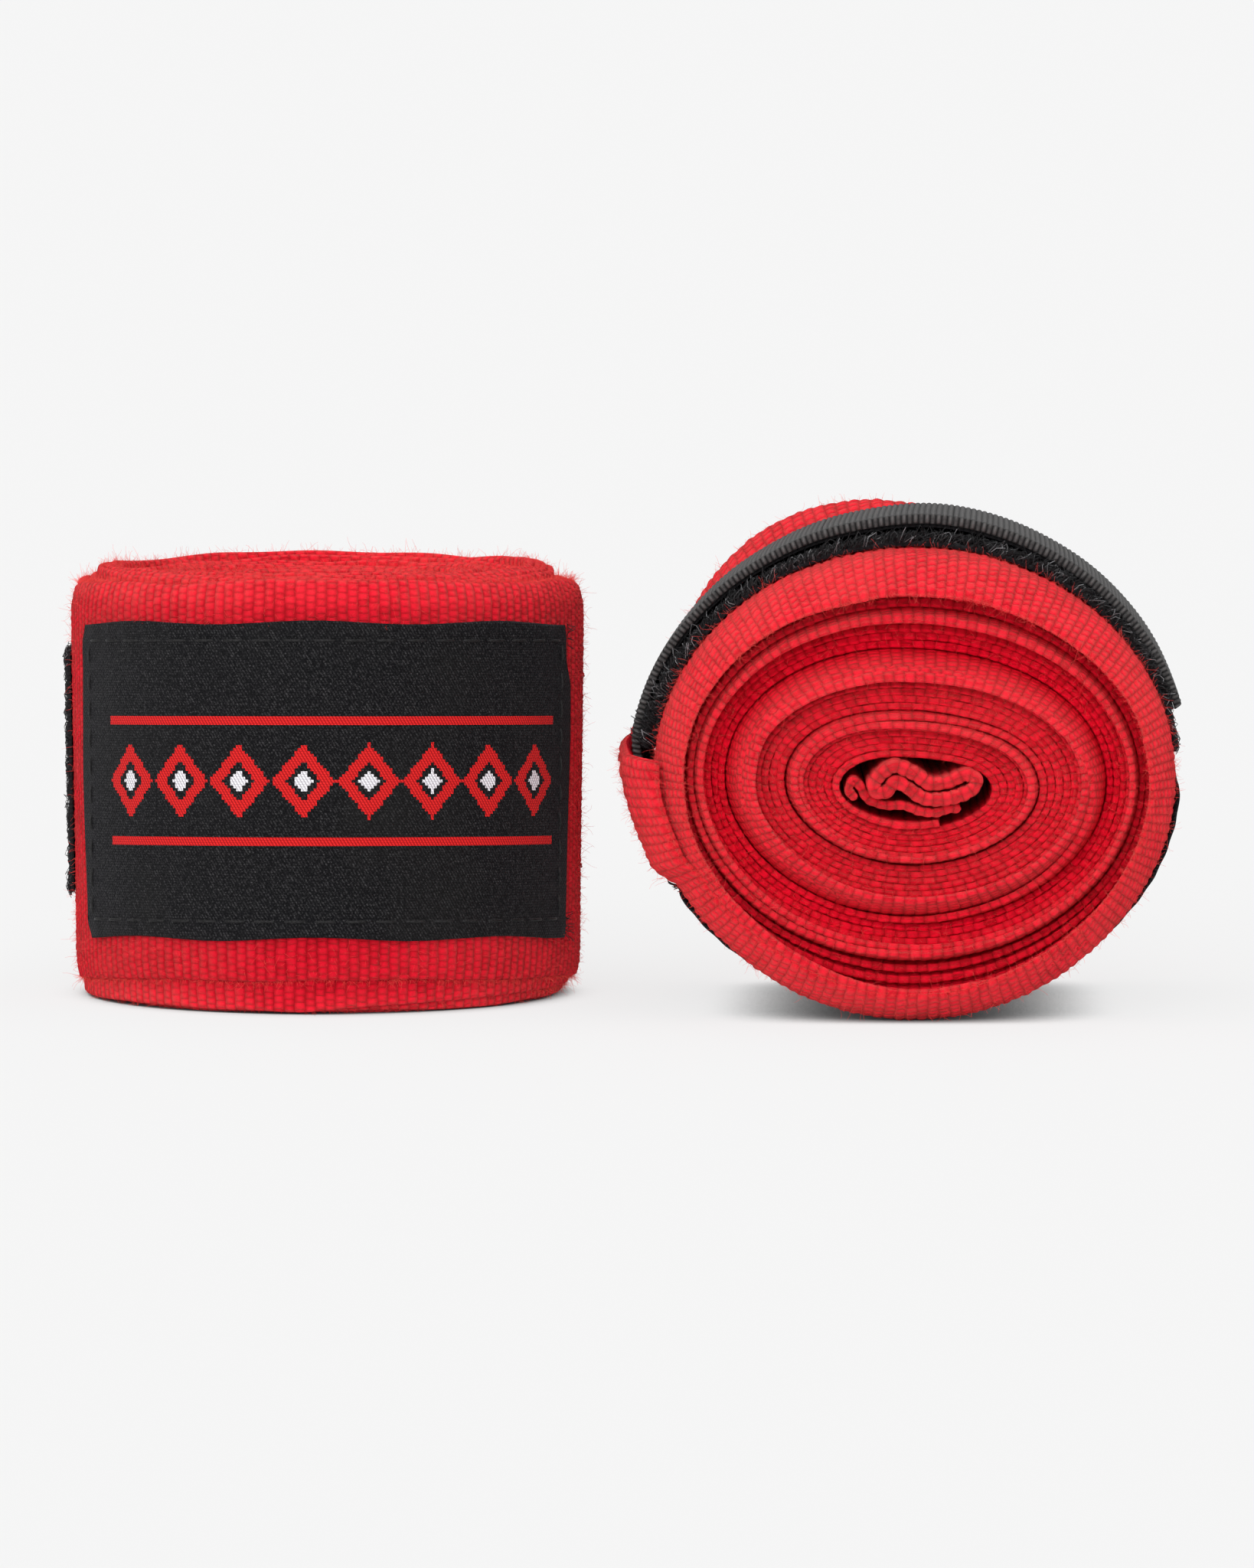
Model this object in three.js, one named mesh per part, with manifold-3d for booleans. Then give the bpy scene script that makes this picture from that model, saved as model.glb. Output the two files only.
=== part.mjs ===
import * as THREE from "three";
import { mergeVertices } from "three/addons/utils/BufferGeometryUtils.js";
import Module from "manifold-3d";

// A pair of rolled hand wraps, in millimetres, +Z up. Roll A stands on its end with its label
// forwards (-Y). Roll B lies on its label with one coiled end forwards.
// Each roll is made in its own frame: the coil lies in XY, the band's width runs along Z, the label
// is at -Y. Seen from +Z the cloth winds outwards clockwise.
// Places along the coil are turn angles in degrees: 0 at the band's sewn outer end, negative back
// along the cloth, positive along the closing strap. Heights off the coil are lifts in millimetres.

const FULL_TURN = 360;
const FACET_STEP = 22.5;
const PIECE_GAP = 0.3;

// The band: a woven strip, wound from the thumb loop outwards.
const BAND_WIDTH = 50.8;
const LAST_TURN_WIDTH = 47.8;
const CLOTH = 0.55;
const TURN_PITCH = 0.85;
const TURNS = 25.3;
const HALF_LONG = 30.6;
const HALF_SHORT = 27.4;
const CORE_BIAS = 2.3;
const NARROWING_STARTS = 25.2;
const NARROWING_ENDS = 27.6;

// The band's end is folded over the strap's root, which makes a hem two layers thick.
const HEM_START = -26;
const HEM_RAMP = 6;
const HEM_THICKNESS = 1.1;

// The closing strap: ribbed webbing with hook tape under it, in hinged lengths.
const WEBBING_WIDTH = 27;
const WEBBING = 1;
const STRAP_MIDDLE = 23;
const STRAP_LENGTHS = 6;
const ROOT_START = -24;
const STRAP_RISE_START = 2;
const STRAP_RISE_END = 16;
const HOOK_START = 18;
const HOOK_WIDTH = 25;
const HOOK = 0.8;
const LENGTH_GAP = 0.28;

// The loop tape is sewn to the band's outer face under the strap.
const LOOP_START = 12;
const LOOP_END = 170;
const LOOP_WIDTH = 29;
const LOOP = 1;

// The label is sewn to the same outer face, from under the end hem round to the strap's far side.
const LABEL_START = -185;
const LABEL_END = -34;
const LABEL_WIDTH = 37.4;
const LABEL = 0.4;

// Threads
const THREAD = 0.3;
const THREAD_WIDTH = 0.7;
const LABEL_SEAM_INSET = 2;
const HEM_SEAM_INSET = 2;
const LOOP_SEAM_INSET = 0.4;
const DEGREES_PER_MM = 1.95;

// The thumb loop: a flattened loop of the same cloth, creased into an S in the core.
const LOOP_CREASES = [
  [-6.7, -1.1],
  [-3.6, 1.7],
  [0, 0],
  [3.6, -1.7],
  [6.7, 1.1],
];
const LOOP_HALF_OPEN = 0.3;
const CREASE_POINTS = 16;
const THUMB_LOOP_BOTTOM = 3;
const THUMB_LOOP_TOP = 49;
const THUMB_TACK = [0.5, 0.9, 30];
const THUMB_TACK_PLACE = [8.25, 0.1, 26];

// The two rolls
const ROLL_A_TURNED = -10;
const ROLL_A_STRAP = 142;
const ROLL_B_STRAP = 160;
const HEM_EDGE_ANGLE = 175;
const MIDDLE_TO_MIDDLE = 69.8;
const ROLL_B_BACK = 14;

const LAST_RADIUS = (HALF_LONG + HALF_SHORT) / 2 - CLOTH;
const FIRST_RADIUS = LAST_RADIUS - TURNS * TURN_PITCH;
const LAST_BIAS = (HALF_LONG - HALF_SHORT) / 2;
const STRAP_SEAT = CLOTH - TURN_PITCH;
const LOOP_LIFT = STRAP_SEAT + PIECE_GAP;
const HOOK_LIFT = LOOP_LIFT + LOOP + PIECE_GAP;
const WEBBING_LIFT = HOOK_LIFT + HOOK + PIECE_GAP;
const HEM_LIFT = LOOP_LIFT + WEBBING + PIECE_GAP;
const LABEL_LIFT = CLOTH + PIECE_GAP;

const wasm = await Module();
wasm.setup();

const MATERIALS = {
  band_cloth: { color: 0xd8202a, roughness: 0.95 },
  webbing: { color: 0x1d1d1f, roughness: 0.6 },
  hook_tape: { color: 0x101012, roughness: 0.5 },
  loop_pile: { color: 0x141416, roughness: 0.98 },
  label: { color: 0x121113, roughness: 0.55 },
  thread_black: { color: 0x0b0b0c, roughness: 0.7 },
  thread_red: { color: 0xb8141d, roughness: 0.8 },
};

function named(name, slot, geometry) {
  const material = new THREE.MeshStandardMaterial({ ...MATERIALS[slot], metalness: 0 });
  const mesh = new THREE.Mesh(geometry, material);
  mesh.name = name;
  return mesh;
}

function radiusAt(turn) {
  return LAST_RADIUS + (TURN_PITCH * turn) / FULL_TURN;
}

// A corner of the faceted oval of one radius. Every oval has its corners at the same angles, so
// nested pieces keep their gaps.
function corner(index, radius) {
  const across = THREE.MathUtils.mapLinear(radius, FIRST_RADIUS, LAST_RADIUS, CORE_BIAS, LAST_BIAS);
  const angle = THREE.MathUtils.degToRad(index * FACET_STEP);
  return new THREE.Vector2(
    (radius + across) * Math.cos(angle),
    (radius - across) * Math.sin(angle),
  );
}

function coilPoint(angle, radius) {
  const index = Math.floor(angle / FACET_STEP);
  const share = angle / FACET_STEP - index;
  return corner(index, radius).lerp(corner(index + 1, radius), share);
}

function turnsBetween(from, to, endAngle, breaks) {
  const turns = [from, to, ...breaks.filter((turn) => turn > from && turn < to)];
  const first = Math.ceil((endAngle - to) / FACET_STEP);
  const last = Math.floor((endAngle - from) / FACET_STEP);
  for (let index = first; index <= last; index += 1) {
    turns.push(endAngle - index * FACET_STEP);
  }
  turns.sort((a, b) => a - b);
  const leastStep = 1e-3;
  return turns.filter((turn, i) => i === 0 || turn - turns[i - 1] > leastStep);
}

// A strip that follows the coil. lift gives its inner face above the coil at a turn angle.
function strip({ from, to, lift, thickness, bottom, width, endAngle, breaks = [] }) {
  const turns = turnsBetween(from, to, endAngle, breaks);
  const face = (extra) =>
    turns.map((turn) => coilPoint(endAngle - turn, radiusAt(turn) + lift(turn) + extra(turn)));
  const outline = [...face(thickness), ...face(() => 0).reverse()];
  const geometry = new THREE.ExtrudeGeometry(new THREE.Shape(outline), {
    depth: width,
    bevelEnabled: false,
  });
  return geometry.translate(0, 0, bottom);
}

function solidOf(geometry) {
  const plain = geometry.clone();
  plain.deleteAttribute("normal");
  plain.deleteAttribute("uv");
  const merged = mergeVertices(plain);
  return new wasm.Manifold(
    new wasm.Mesh({
      numProp: 3,
      vertProperties: new Float32Array(merged.attributes.position.array),
      triVerts: new Uint32Array(merged.index.array),
    }),
  );
}

function geometryOf(solid) {
  const mesh = solid.getMesh();
  const geometry = new THREE.BufferGeometry();
  geometry.setAttribute("position", new THREE.BufferAttribute(mesh.vertProperties, mesh.numProp));
  geometry.setIndex(new THREE.BufferAttribute(mesh.triVerts, 1));
  geometry.computeVertexNormals();
  return geometry;
}

// One closed line of stitching: a thread round a rectangle of the coil's surface.
function seam({ from, to, lift, bottom, width, endAngle }) {
  const flat = { lift: () => lift, thickness: () => THREAD, endAngle };
  const sideways = THREAD_WIDTH * DEGREES_PER_MM;
  const outside = strip({ ...flat, from, to, bottom, width });
  const inside = strip({
    lift: () => lift - PIECE_GAP,
    thickness: () => THREAD + 2 * PIECE_GAP,
    endAngle,
    from: from + sideways,
    to: to - sideways,
    bottom: bottom + THREAD_WIDTH,
    width: width - 2 * THREAD_WIDTH,
  });
  return geometryOf(solidOf(outside).subtract(solidOf(inside)));
}

function hemRise(turn) {
  const share = THREE.MathUtils.clamp((turn - HEM_START + HEM_RAMP) / HEM_RAMP, 0, 1);
  return share * HEM_LIFT;
}

function bandThickness(turn) {
  const share = THREE.MathUtils.clamp((turn - HEM_START + HEM_RAMP) / HEM_RAMP, 0, 1);
  return THREE.MathUtils.lerp(CLOTH, HEM_THICKNESS, share);
}

function strapLift(turn) {
  const share = (turn - STRAP_RISE_START) / (STRAP_RISE_END - STRAP_RISE_START);
  return THREE.MathUtils.lerp(LOOP_LIFT, WEBBING_LIFT, THREE.MathUtils.clamp(share, 0, 1));
}

// The last turns are pulled tight, which narrows them: the inner turns stand proud at one end.
function narrowLastTurns(geometry) {
  const place = geometry.attributes.position;
  const point = new THREE.Vector3();
  for (let i = 0; i < place.count; i += 1) {
    point.fromBufferAttribute(place, i);
    const angle = Math.atan2(point.y / HALF_SHORT, point.x / HALF_LONG);
    const rim = Math.hypot(HALF_LONG * Math.cos(angle), HALF_SHORT * Math.sin(angle));
    const radius = (LAST_RADIUS * Math.hypot(point.x, point.y)) / rim;
    const share = THREE.MathUtils.smoothstep(radius, NARROWING_STARTS, NARROWING_ENDS);
    place.setZ(i, point.z * THREE.MathUtils.lerp(1, LAST_TURN_WIDTH / BAND_WIDTH, share));
  }
  return geometry;
}

function band(endAngle) {
  return narrowLastTurns(
    strip({
      from: -TURNS * FULL_TURN,
      to: 0,
      lift: hemRise,
      thickness: bandThickness,
      bottom: 0,
      width: BAND_WIDTH,
      endAngle,
      breaks: [HEM_START - HEM_RAMP, HEM_START],
    }),
  );
}

function offsetCrease(curve, distance) {
  const side = (sign) =>
    curve.getSpacedPoints(CREASE_POINTS).map((point, i) => {
      const along = curve.getTangentAt(i / CREASE_POINTS);
      return point.clone().add(new THREE.Vector2(-along.y, along.x).multiplyScalar(sign * distance));
    });
  return [...side(-1), ...side(1).reverse()];
}

function thumbLoop() {
  const crease = new THREE.SplineCurve(LOOP_CREASES.map(([x, y]) => new THREE.Vector2(x, y)));
  const shape = new THREE.Shape(offsetCrease(crease, LOOP_HALF_OPEN + CLOTH));
  const inside = new THREE.SplineCurve(
    crease.getSpacedPoints(CREASE_POINTS).slice(1, -1),
  );
  shape.holes.push(new THREE.Path(offsetCrease(inside, LOOP_HALF_OPEN)));
  const geometry = new THREE.ExtrudeGeometry(shape, {
    depth: THUMB_LOOP_TOP - THUMB_LOOP_BOTTOM,
    bevelEnabled: false,
  });
  return geometry.translate(0, 0, THUMB_LOOP_BOTTOM);
}

function strapPiece(from, to, lift, thickness, width, endAngle) {
  return strip({
    from,
    to,
    lift,
    thickness: () => thickness,
    bottom: STRAP_MIDDLE - width / 2,
    width,
    endAngle,
    breaks: [STRAP_RISE_START, STRAP_RISE_END],
  });
}

function strapLengths(prefix, endAngle, strapEnd) {
  const pieces = [];
  const step = strapEnd / STRAP_LENGTHS;
  for (let i = 0; i < STRAP_LENGTHS; i += 1) {
    const from = i * step + LENGTH_GAP;
    const to = (i + 1) * step - LENGTH_GAP;
    const webbing = strapPiece(from, to, strapLift, WEBBING, WEBBING_WIDTH, endAngle);
    const hookFrom = Math.max(from, HOOK_START);
    const hook = strapPiece(hookFrom, to, () => HOOK_LIFT, HOOK, HOOK_WIDTH, endAngle);
    pieces.push(named(`${prefix}_strap_webbing_${i + 1}`, "webbing", webbing));
    pieces.push(named(`${prefix}_strap_hook_${i + 1}`, "hook_tape", hook));
  }
  return pieces;
}

// The line that each length of strap turns about: on the strap's outer face, between two lengths.
function hingePlaces(endAngle, strapEnd) {
  const places = [];
  for (let i = 0; i < STRAP_LENGTHS; i += 1) {
    const turn = (i * strapEnd) / STRAP_LENGTHS;
    const place = coilPoint(endAngle - turn, radiusAt(turn) + strapLift(turn) + WEBBING);
    places.push(new THREE.Vector3(place.x, place.y, STRAP_MIDDLE));
  }
  return places;
}

function roll(prefix, turned, strapEnd) {
  const endAngle = HEM_EDGE_ANGLE + turned;
  const group = new THREE.Group();
  const label = strip({
    from: LABEL_START,
    to: LABEL_END,
    lift: () => LABEL_LIFT,
    thickness: () => LABEL,
    bottom: (LAST_TURN_WIDTH - LABEL_WIDTH) / 2,
    width: LABEL_WIDTH,
    endAngle,
  });
  const labelSeam = seam({
    from: LABEL_START + LABEL_SEAM_INSET * DEGREES_PER_MM,
    to: LABEL_END - LABEL_SEAM_INSET * DEGREES_PER_MM,
    lift: LABEL_LIFT + LABEL + PIECE_GAP,
    bottom: (LAST_TURN_WIDTH - LABEL_WIDTH) / 2 + LABEL_SEAM_INSET,
    width: LABEL_WIDTH - 2 * LABEL_SEAM_INSET,
    endAngle,
  });
  const loopTape = strapPiece(LOOP_START, LOOP_END, () => LOOP_LIFT, LOOP, LOOP_WIDTH, endAngle);
  const loopSeam = seam({
    from: LOOP_START + LOOP_SEAM_INSET * DEGREES_PER_MM,
    to: LOOP_END - LOOP_SEAM_INSET * DEGREES_PER_MM,
    lift: LOOP_LIFT + LOOP + PIECE_GAP,
    bottom: STRAP_MIDDLE - LOOP_WIDTH / 2 + LOOP_SEAM_INSET,
    width: LOOP_WIDTH - 2 * LOOP_SEAM_INSET,
    endAngle,
  });
  const root = strapPiece(ROOT_START, -LENGTH_GAP, strapLift, WEBBING, WEBBING_WIDTH, endAngle);
  const hemSeam = seam({
    from: HEM_START + HEM_SEAM_INSET * DEGREES_PER_MM,
    to: -HEM_SEAM_INSET * DEGREES_PER_MM,
    lift: HEM_LIFT + HEM_THICKNESS + PIECE_GAP,
    bottom: STRAP_MIDDLE - WEBBING_WIDTH / 2 + HEM_SEAM_INSET,
    width: WEBBING_WIDTH - 2 * HEM_SEAM_INSET,
    endAngle,
  });
  const tack = new THREE.BoxGeometry(...THUMB_TACK).translate(...THUMB_TACK_PLACE);
  group.add(
    named(`${prefix}_band`, "band_cloth", band(endAngle)),
    named(`${prefix}_thumb_loop`, "band_cloth", thumbLoop()),
    named(`${prefix}_thumb_loop_tack`, "thread_red", tack),
    named(`${prefix}_end_hem_stitching`, "thread_red", hemSeam),
    named(`${prefix}_label`, "label", label),
    named(`${prefix}_label_stitching`, "thread_black", labelSeam),
    named(`${prefix}_loop_tape`, "loop_pile", loopTape),
    named(`${prefix}_loop_tape_stitching`, "thread_black", loopSeam),
    named(`${prefix}_strap_root`, "webbing", root),
    ...strapLengths(prefix, endAngle, strapEnd),
  );
  group.userData.hinges = hingePlaces(endAngle, strapEnd);
  return group;
}

const rollA = roll("roll_a", ROLL_A_TURNED, ROLL_A_STRAP);
rollA.rotation.y = Math.PI;
rollA.position.set(-MIDDLE_TO_MIDDLE / 2, 0, BAND_WIDTH);

const rollB = roll("roll_b", 0, ROLL_B_STRAP);
rollB.rotation.x = Math.PI / 2;
rollB.position.set(MIDDLE_TO_MIDDLE / 2, ROLL_B_BACK, 0);
rollB.position.z = -new THREE.Box3().setFromObject(rollB).min.z;

// The pair stands on Z = 0, with the middle of its footprint at the origin.
const pair = new THREE.Group();
pair.add(rollA, rollB);
const middle = new THREE.Box3().setFromObject(pair).getCenter(new THREE.Vector3());
pair.position.set(-middle.x, -middle.y, 0);
pair.updateMatrixWorld(true);

export default pair;
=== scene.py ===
"""A pair of rolled hand wraps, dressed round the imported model. Shapes are worked out in millimetres
in each roll's own frame, as in the CAD part: the coil lies in XY, the band's width runs along Z, the
label is at -Y, and places along the coil are turn angles in degrees, 0 at the band's outer end."""

from functools import partial

import bpy
import numpy as np
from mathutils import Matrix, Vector


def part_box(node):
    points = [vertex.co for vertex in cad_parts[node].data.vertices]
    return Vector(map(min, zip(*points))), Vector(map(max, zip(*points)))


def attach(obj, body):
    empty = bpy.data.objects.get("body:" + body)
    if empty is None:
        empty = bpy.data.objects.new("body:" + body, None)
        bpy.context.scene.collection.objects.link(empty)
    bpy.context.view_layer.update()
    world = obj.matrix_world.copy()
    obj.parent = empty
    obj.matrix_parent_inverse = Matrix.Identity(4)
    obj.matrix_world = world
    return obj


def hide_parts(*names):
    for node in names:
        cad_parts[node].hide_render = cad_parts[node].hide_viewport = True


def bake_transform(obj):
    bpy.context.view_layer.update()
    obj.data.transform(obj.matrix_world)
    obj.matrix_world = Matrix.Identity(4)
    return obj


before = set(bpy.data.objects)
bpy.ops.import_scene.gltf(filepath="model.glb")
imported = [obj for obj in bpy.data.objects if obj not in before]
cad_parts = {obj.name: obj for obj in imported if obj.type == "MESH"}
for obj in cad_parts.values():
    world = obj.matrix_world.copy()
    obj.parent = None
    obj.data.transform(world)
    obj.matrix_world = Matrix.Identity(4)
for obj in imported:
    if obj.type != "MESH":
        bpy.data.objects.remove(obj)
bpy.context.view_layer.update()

MM = 0.001
FULL_TURN = 360.0
DEGREES_PER_MM = 1.95

# The coil, as in the CAD part but for TURNS: the visible coil runs further into the core
CLOTH = 0.55
TURN_PITCH = 0.85
TURNS = 26.32
CAD_TURNS = 25.3
HALF_LONG, HALF_SHORT = 30.6, 27.4
CORE_BIAS = 2.3
LAST_RADIUS = (HALF_LONG + HALF_SHORT) / 2 - CLOTH
FIRST_RADIUS = LAST_RADIUS - CAD_TURNS * TURN_PITCH
LAST_BIAS = (HALF_LONG - HALF_SHORT) / 2
LAST_TURN_WIDTH = 47.8
HEM_START, HEM_RAMP = -26.0, 8.0

# The closing strap, hook tape and loop tape, mostly as in the CAD part
STRAP_SEAT = CLOTH - TURN_PITCH
LOOP_LIFT = STRAP_SEAT + 0.3
LOOP_TAPE, HOOK_TAPE = 1.3, 1.1
LOOP_BACKING = 0.45
NAP_PRESSED = 0.15
WEBBING_LIFT = LOOP_LIFT + LOOP_TAPE + HOOK_TAPE - NAP_PRESSED
WEBBING = 1.0
WEBBING_WIDTH, HOOK_WIDTH, LOOP_WIDTH = 27.0, 25.0, 29.0
STRAP_MIDDLE = 23.0
STRAP_LENGTHS = 6
HOOK_SPACING = 1.25
ROOT_START = -24.0
HOOK_START = 18.0
LOOP_START, LOOP_END = 1.0, 170.0

# The label
LABEL_START, LABEL_END = -184.0, -34.0
LABEL_WIDTH = 37.4
LABEL_BOTTOM = (LAST_TURN_WIDTH - LABEL_WIDTH) / 2
LABEL_THICKNESS = 0.42
LABEL_HEM = 2.4
LABEL_SEAM_INSET = 2.1

# Yarns
RIB = 1.15
ROW = 0.82
RIB_HEIGHT = 0.2
WEBBING_RIB = 0.58
WEBBING_RIB_HEIGHT = 0.15


# The camera, in metres: how far in front of its aim it is, how high, and what it aims at; then the
# scale at the aim, for a picture this many pixels high
CAMERA_DISTANCE, CAMERA_HEIGHT = 1.15, 0.128
AIM = (0.0014, -0.026, 0.0276)
PIXELS_PER_MM, PICTURE_HEIGHT = 11.19, 2048
SENSOR_HEIGHT_MM = 36.0


def camera():
    """A long lens, low in front of the pair and turned slightly down."""
    data = bpy.data.cameras.new("camera")
    shot = bpy.data.objects.new("camera", data)
    bpy.context.scene.collection.objects.link(shot)
    shot.location = (AIM[0], AIM[1] - CAMERA_DISTANCE, CAMERA_HEIGHT)
    shot.rotation_euler = (Vector(AIM) - shot.location).to_track_quat("-Z", "Y").to_euler()
    data.sensor_fit = "VERTICAL"
    data.sensor_height = SENSOR_HEIGHT_MM
    data.lens = SENSOR_HEIGHT_MM * PIXELS_PER_MM * CAMERA_DISTANCE * 1000 / PICTURE_HEIGHT
    bpy.context.scene.camera = shot


camera()


# ---------------------------------------------------------------- the rolls and their coils


def smooth(low, high, value):
    share = np.clip((np.asarray(value, float) - low) / (high - low), 0.0, 1.0)
    return share * share * (3 - 2 * share)


def radius_at(turn):
    return LAST_RADIUS + TURN_PITCH * np.asarray(turn, float) / FULL_TURN


def waves(along, seed, period):
    """A slow, smooth, repeatable wander between about -1 and 1."""
    phases = np.random.default_rng(seed).uniform(0, 2 * np.pi, 4)
    total = 0.0
    for k, phase in enumerate(phases):
        total = total + np.sin(2 * np.pi * along * (k + 1) ** 0.8 / period + phase) / (k + 1)
    return total / 2.1


def turned_edge(reach, bend, angle):
    """(inward, along) of an edge that turns in through angle over the first bend mm of its reach,
    and then runs on straight."""
    reach = np.clip(reach, 0.0, None)
    bent = np.minimum(reach, bend)
    curve = bend / np.maximum(angle, 1e-4)
    turned = bent / curve
    inward = curve * (1 - np.cos(turned)) + (reach - bent) * np.sin(turned)
    along = curve * np.sin(turned) + (reach - bent) * np.cos(turned)
    return inward, along


class Roll:
    """One roll: where it stands and how its turns lie.

    near and far are the edges at high and low local Z, as rows of (turns in from the outside, height
    of the edge as cut cloth, degrees that the edge is turned in)."""

    def __init__(self, letter, standing, end_angle, strap_end, near, far, fullness, bias, lean,
                 flare, hem, root_thickness, strap_rise, tip_pressed, sag, flattened, core,
                 near_flare, label_start):
        self.letter, self.name = letter, f"roll_{letter}"
        self.fullness, self.bias, self.lean, self.flare = fullness, bias, lean, flare
        self.hem_rise, self.hem_thickness, self.hem_bulge = hem
        self.root_thickness, self.strap_rise = root_thickness, strap_rise
        self.tip_pressed, self.sag = tip_pressed, sag
        self.flattened, self.core, self.near_flare = flattened, core, near_flare
        self.label_start = label_start
        self.standing, self.end_angle, self.strap_end = standing, end_angle, strap_end
        self.near, self.far = np.array(near, float).T, np.array(far, float).T
        low, high = (np.array(c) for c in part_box(f"{self.name}_thumb_loop"))
        top = np.array(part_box(f"{self.name}_band")[1])
        self.middle = (low + high) / 2
        self.start = top[2] if standing else top[1]

    def node(self, part):
        return f"{self.name}_{part}"

    def world(self, points):
        """Points in the roll's own frame, in millimetres, as places in the row frame in metres."""
        x, y, z = np.moveaxis(np.asarray(points, float) * MM, -1, 0)
        if self.standing:
            return np.stack([self.middle[0] - x, self.middle[1] + y, self.start - z], -1)
        return np.stack([self.middle[0] + x, self.start - z, self.middle[2] + y], -1)

    def section(self, turn, radius):
        """The coil's section: an oval that is slightly uneven, more so towards the core."""
        angle = np.radians(self.end_angle - turn)
        depth = np.clip((LAST_RADIUS - radius) / (LAST_RADIUS - FIRST_RADIUS), -0.3, 1.0)
        bias = LAST_BIAS + (CORE_BIAS - LAST_BIAS) * depth + self.bias * (1 - depth)
        bias = bias + self.flattened * np.sin(np.pi * np.clip(depth, 0, 1))
        uneven = 1 + depth * (0.035 * np.sin(2 * angle + 2.6) + 0.03 * np.sin(3 * angle + 0.5))
        x = (radius * uneven + bias) * np.cos(angle) + self.core[0] * depth
        y = (radius * uneven - bias) * np.sin(angle) + self.core[1] * depth
        return x, y

    def place(self, turn, lift, across):
        """Places at turn angles, lifted off the coil, at heights across the band's width. The turns'
        edges are turned in as the near and far tables say."""
        turn, lift, across = np.broadcast_arrays(
            np.asarray(turn, float), np.asarray(lift, float), np.asarray(across, float)
        )
        inside = -turn / FULL_TURN
        height = across.copy()
        inward = np.zeros(turn.shape)
        for sign, table, start in ((1, self.near, NEAR_TURN_IN), (-1, self.far, FAR_TURN_IN)):
            angle = np.radians(np.interp(inside, table[0], table[2]))
            reach = sign * (across - start)
            moved, along = turned_edge(reach, TURN_IN_BEND, angle)
            past = reach > 0
            height = np.where(past, start + sign * along, height)
            inward = inward + np.where(past, moved, 0.0)
        swell = self.swell(turn, height)
        x, y = self.section(turn, radius_at(turn) + lift - inward + swell)
        far_share = 1 - smooth(0, 44, height)
        height = height - self.raised(turn)
        return np.stack([x + self.lean[0] * far_share, y + self.lean[1] * far_share, height], -1)

    def swell(self, turn, height):
        """How much fuller the coil is than a plain one: it widens towards its far end, where the
        free margin beyond the strap also flares on one side."""
        near, far = self.fullness
        flare = self.bulge(self.flare, turn) * (1 - smooth(0, 10, height))
        near_flare = self.bulge(self.near_flare, turn) * smooth(42.6, 45.6, height)
        outer = smooth(-7 * FULL_TURN, -FULL_TURN, turn)
        return near + (far - near) * (1 - smooth(0, 46, height)) + (flare + near_flare) * outer

    def bulge(self, flare, turn):
        size, towards = flare
        off = np.mod(self.end_angle - turn - towards + 180, FULL_TURN) - 180
        return size * np.exp(-((off / 42.0) ** 2))

    def raised(self, turn):
        """How far the last turn has slid towards the coil's far end: least at the sides and most
        at the label."""
        sides, front = self.sag
        facing = np.cos(np.radians(self.end_angle - turn - 270))
        slid = sides + np.where(facing > 0, front - sides, -sides) * np.abs(facing)
        return slid * smooth(-1.3 * FULL_TURN, -1.02 * FULL_TURN, turn)

    def strap_lift(self, turn):
        """Height of the webbing's inner face above the coil."""
        lift = LOOP_LIFT + (WEBBING_LIFT - LOOP_LIFT) * smooth(*self.strap_rise, turn)
        return lift * (1 - self.tip_pressed * 0.6 * smooth(80, 160, turn))

    def hem_lift(self, turn, across):
        """Height of the end hem's inner face: its free end stands off over the strap."""
        spread = 0.45 + 0.55 * np.exp(-(((across - STRAP_MIDDLE) / 17.0) ** 2))
        standing_off = self.hem_bulge * smooth(HEM_START, 1.0, turn) * spread
        return self.hem_rise * hem_share(turn) + standing_off

    def edges(self, turn):
        inside = -np.asarray(turn, float) / FULL_TURN
        return np.interp(inside, *self.far[:2]), np.interp(inside, *self.near[:2])


NEAR_TURN_IN, FAR_TURN_IN = 43.8, 4.0
TURN_IN_BEND = 4.0

ROLL_A = Roll(
    "a", True, 165.0, 142.0,
    near=[(0, 47.6, 14), (0.9, 47.8, 12), (1.3, 50.4, 4), (3, 50.7, 3), (26, 50.6, 0)],
    far=[(0, 0.2, 26), (1, 0.6, 24), (1.5, 1.3, 8), (3, 0.9, 4), (4.5, -0.5, 3), (7, -0.9, 2),
         (9, 0.4, 0), (13, 0.9, 0), (15, -0.2, 0), (20, 0.6, 0), (26, 0.2, 0)],
    fullness=(-0.35, 0.1), bias=0.0, lean=(0.0, 0.0), flare=(0.0, 0.0),
    hem=(-0.15, 1.0, 0.05), root_thickness=0.3, strap_rise=(2.0, 16.0), tip_pressed=0.2,
    sag=(-1.2, 0.9), flattened=0.2, core=(-0.2, 0.3), near_flare=(0.0, 0.0), label_start=-172.0,
)
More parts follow.
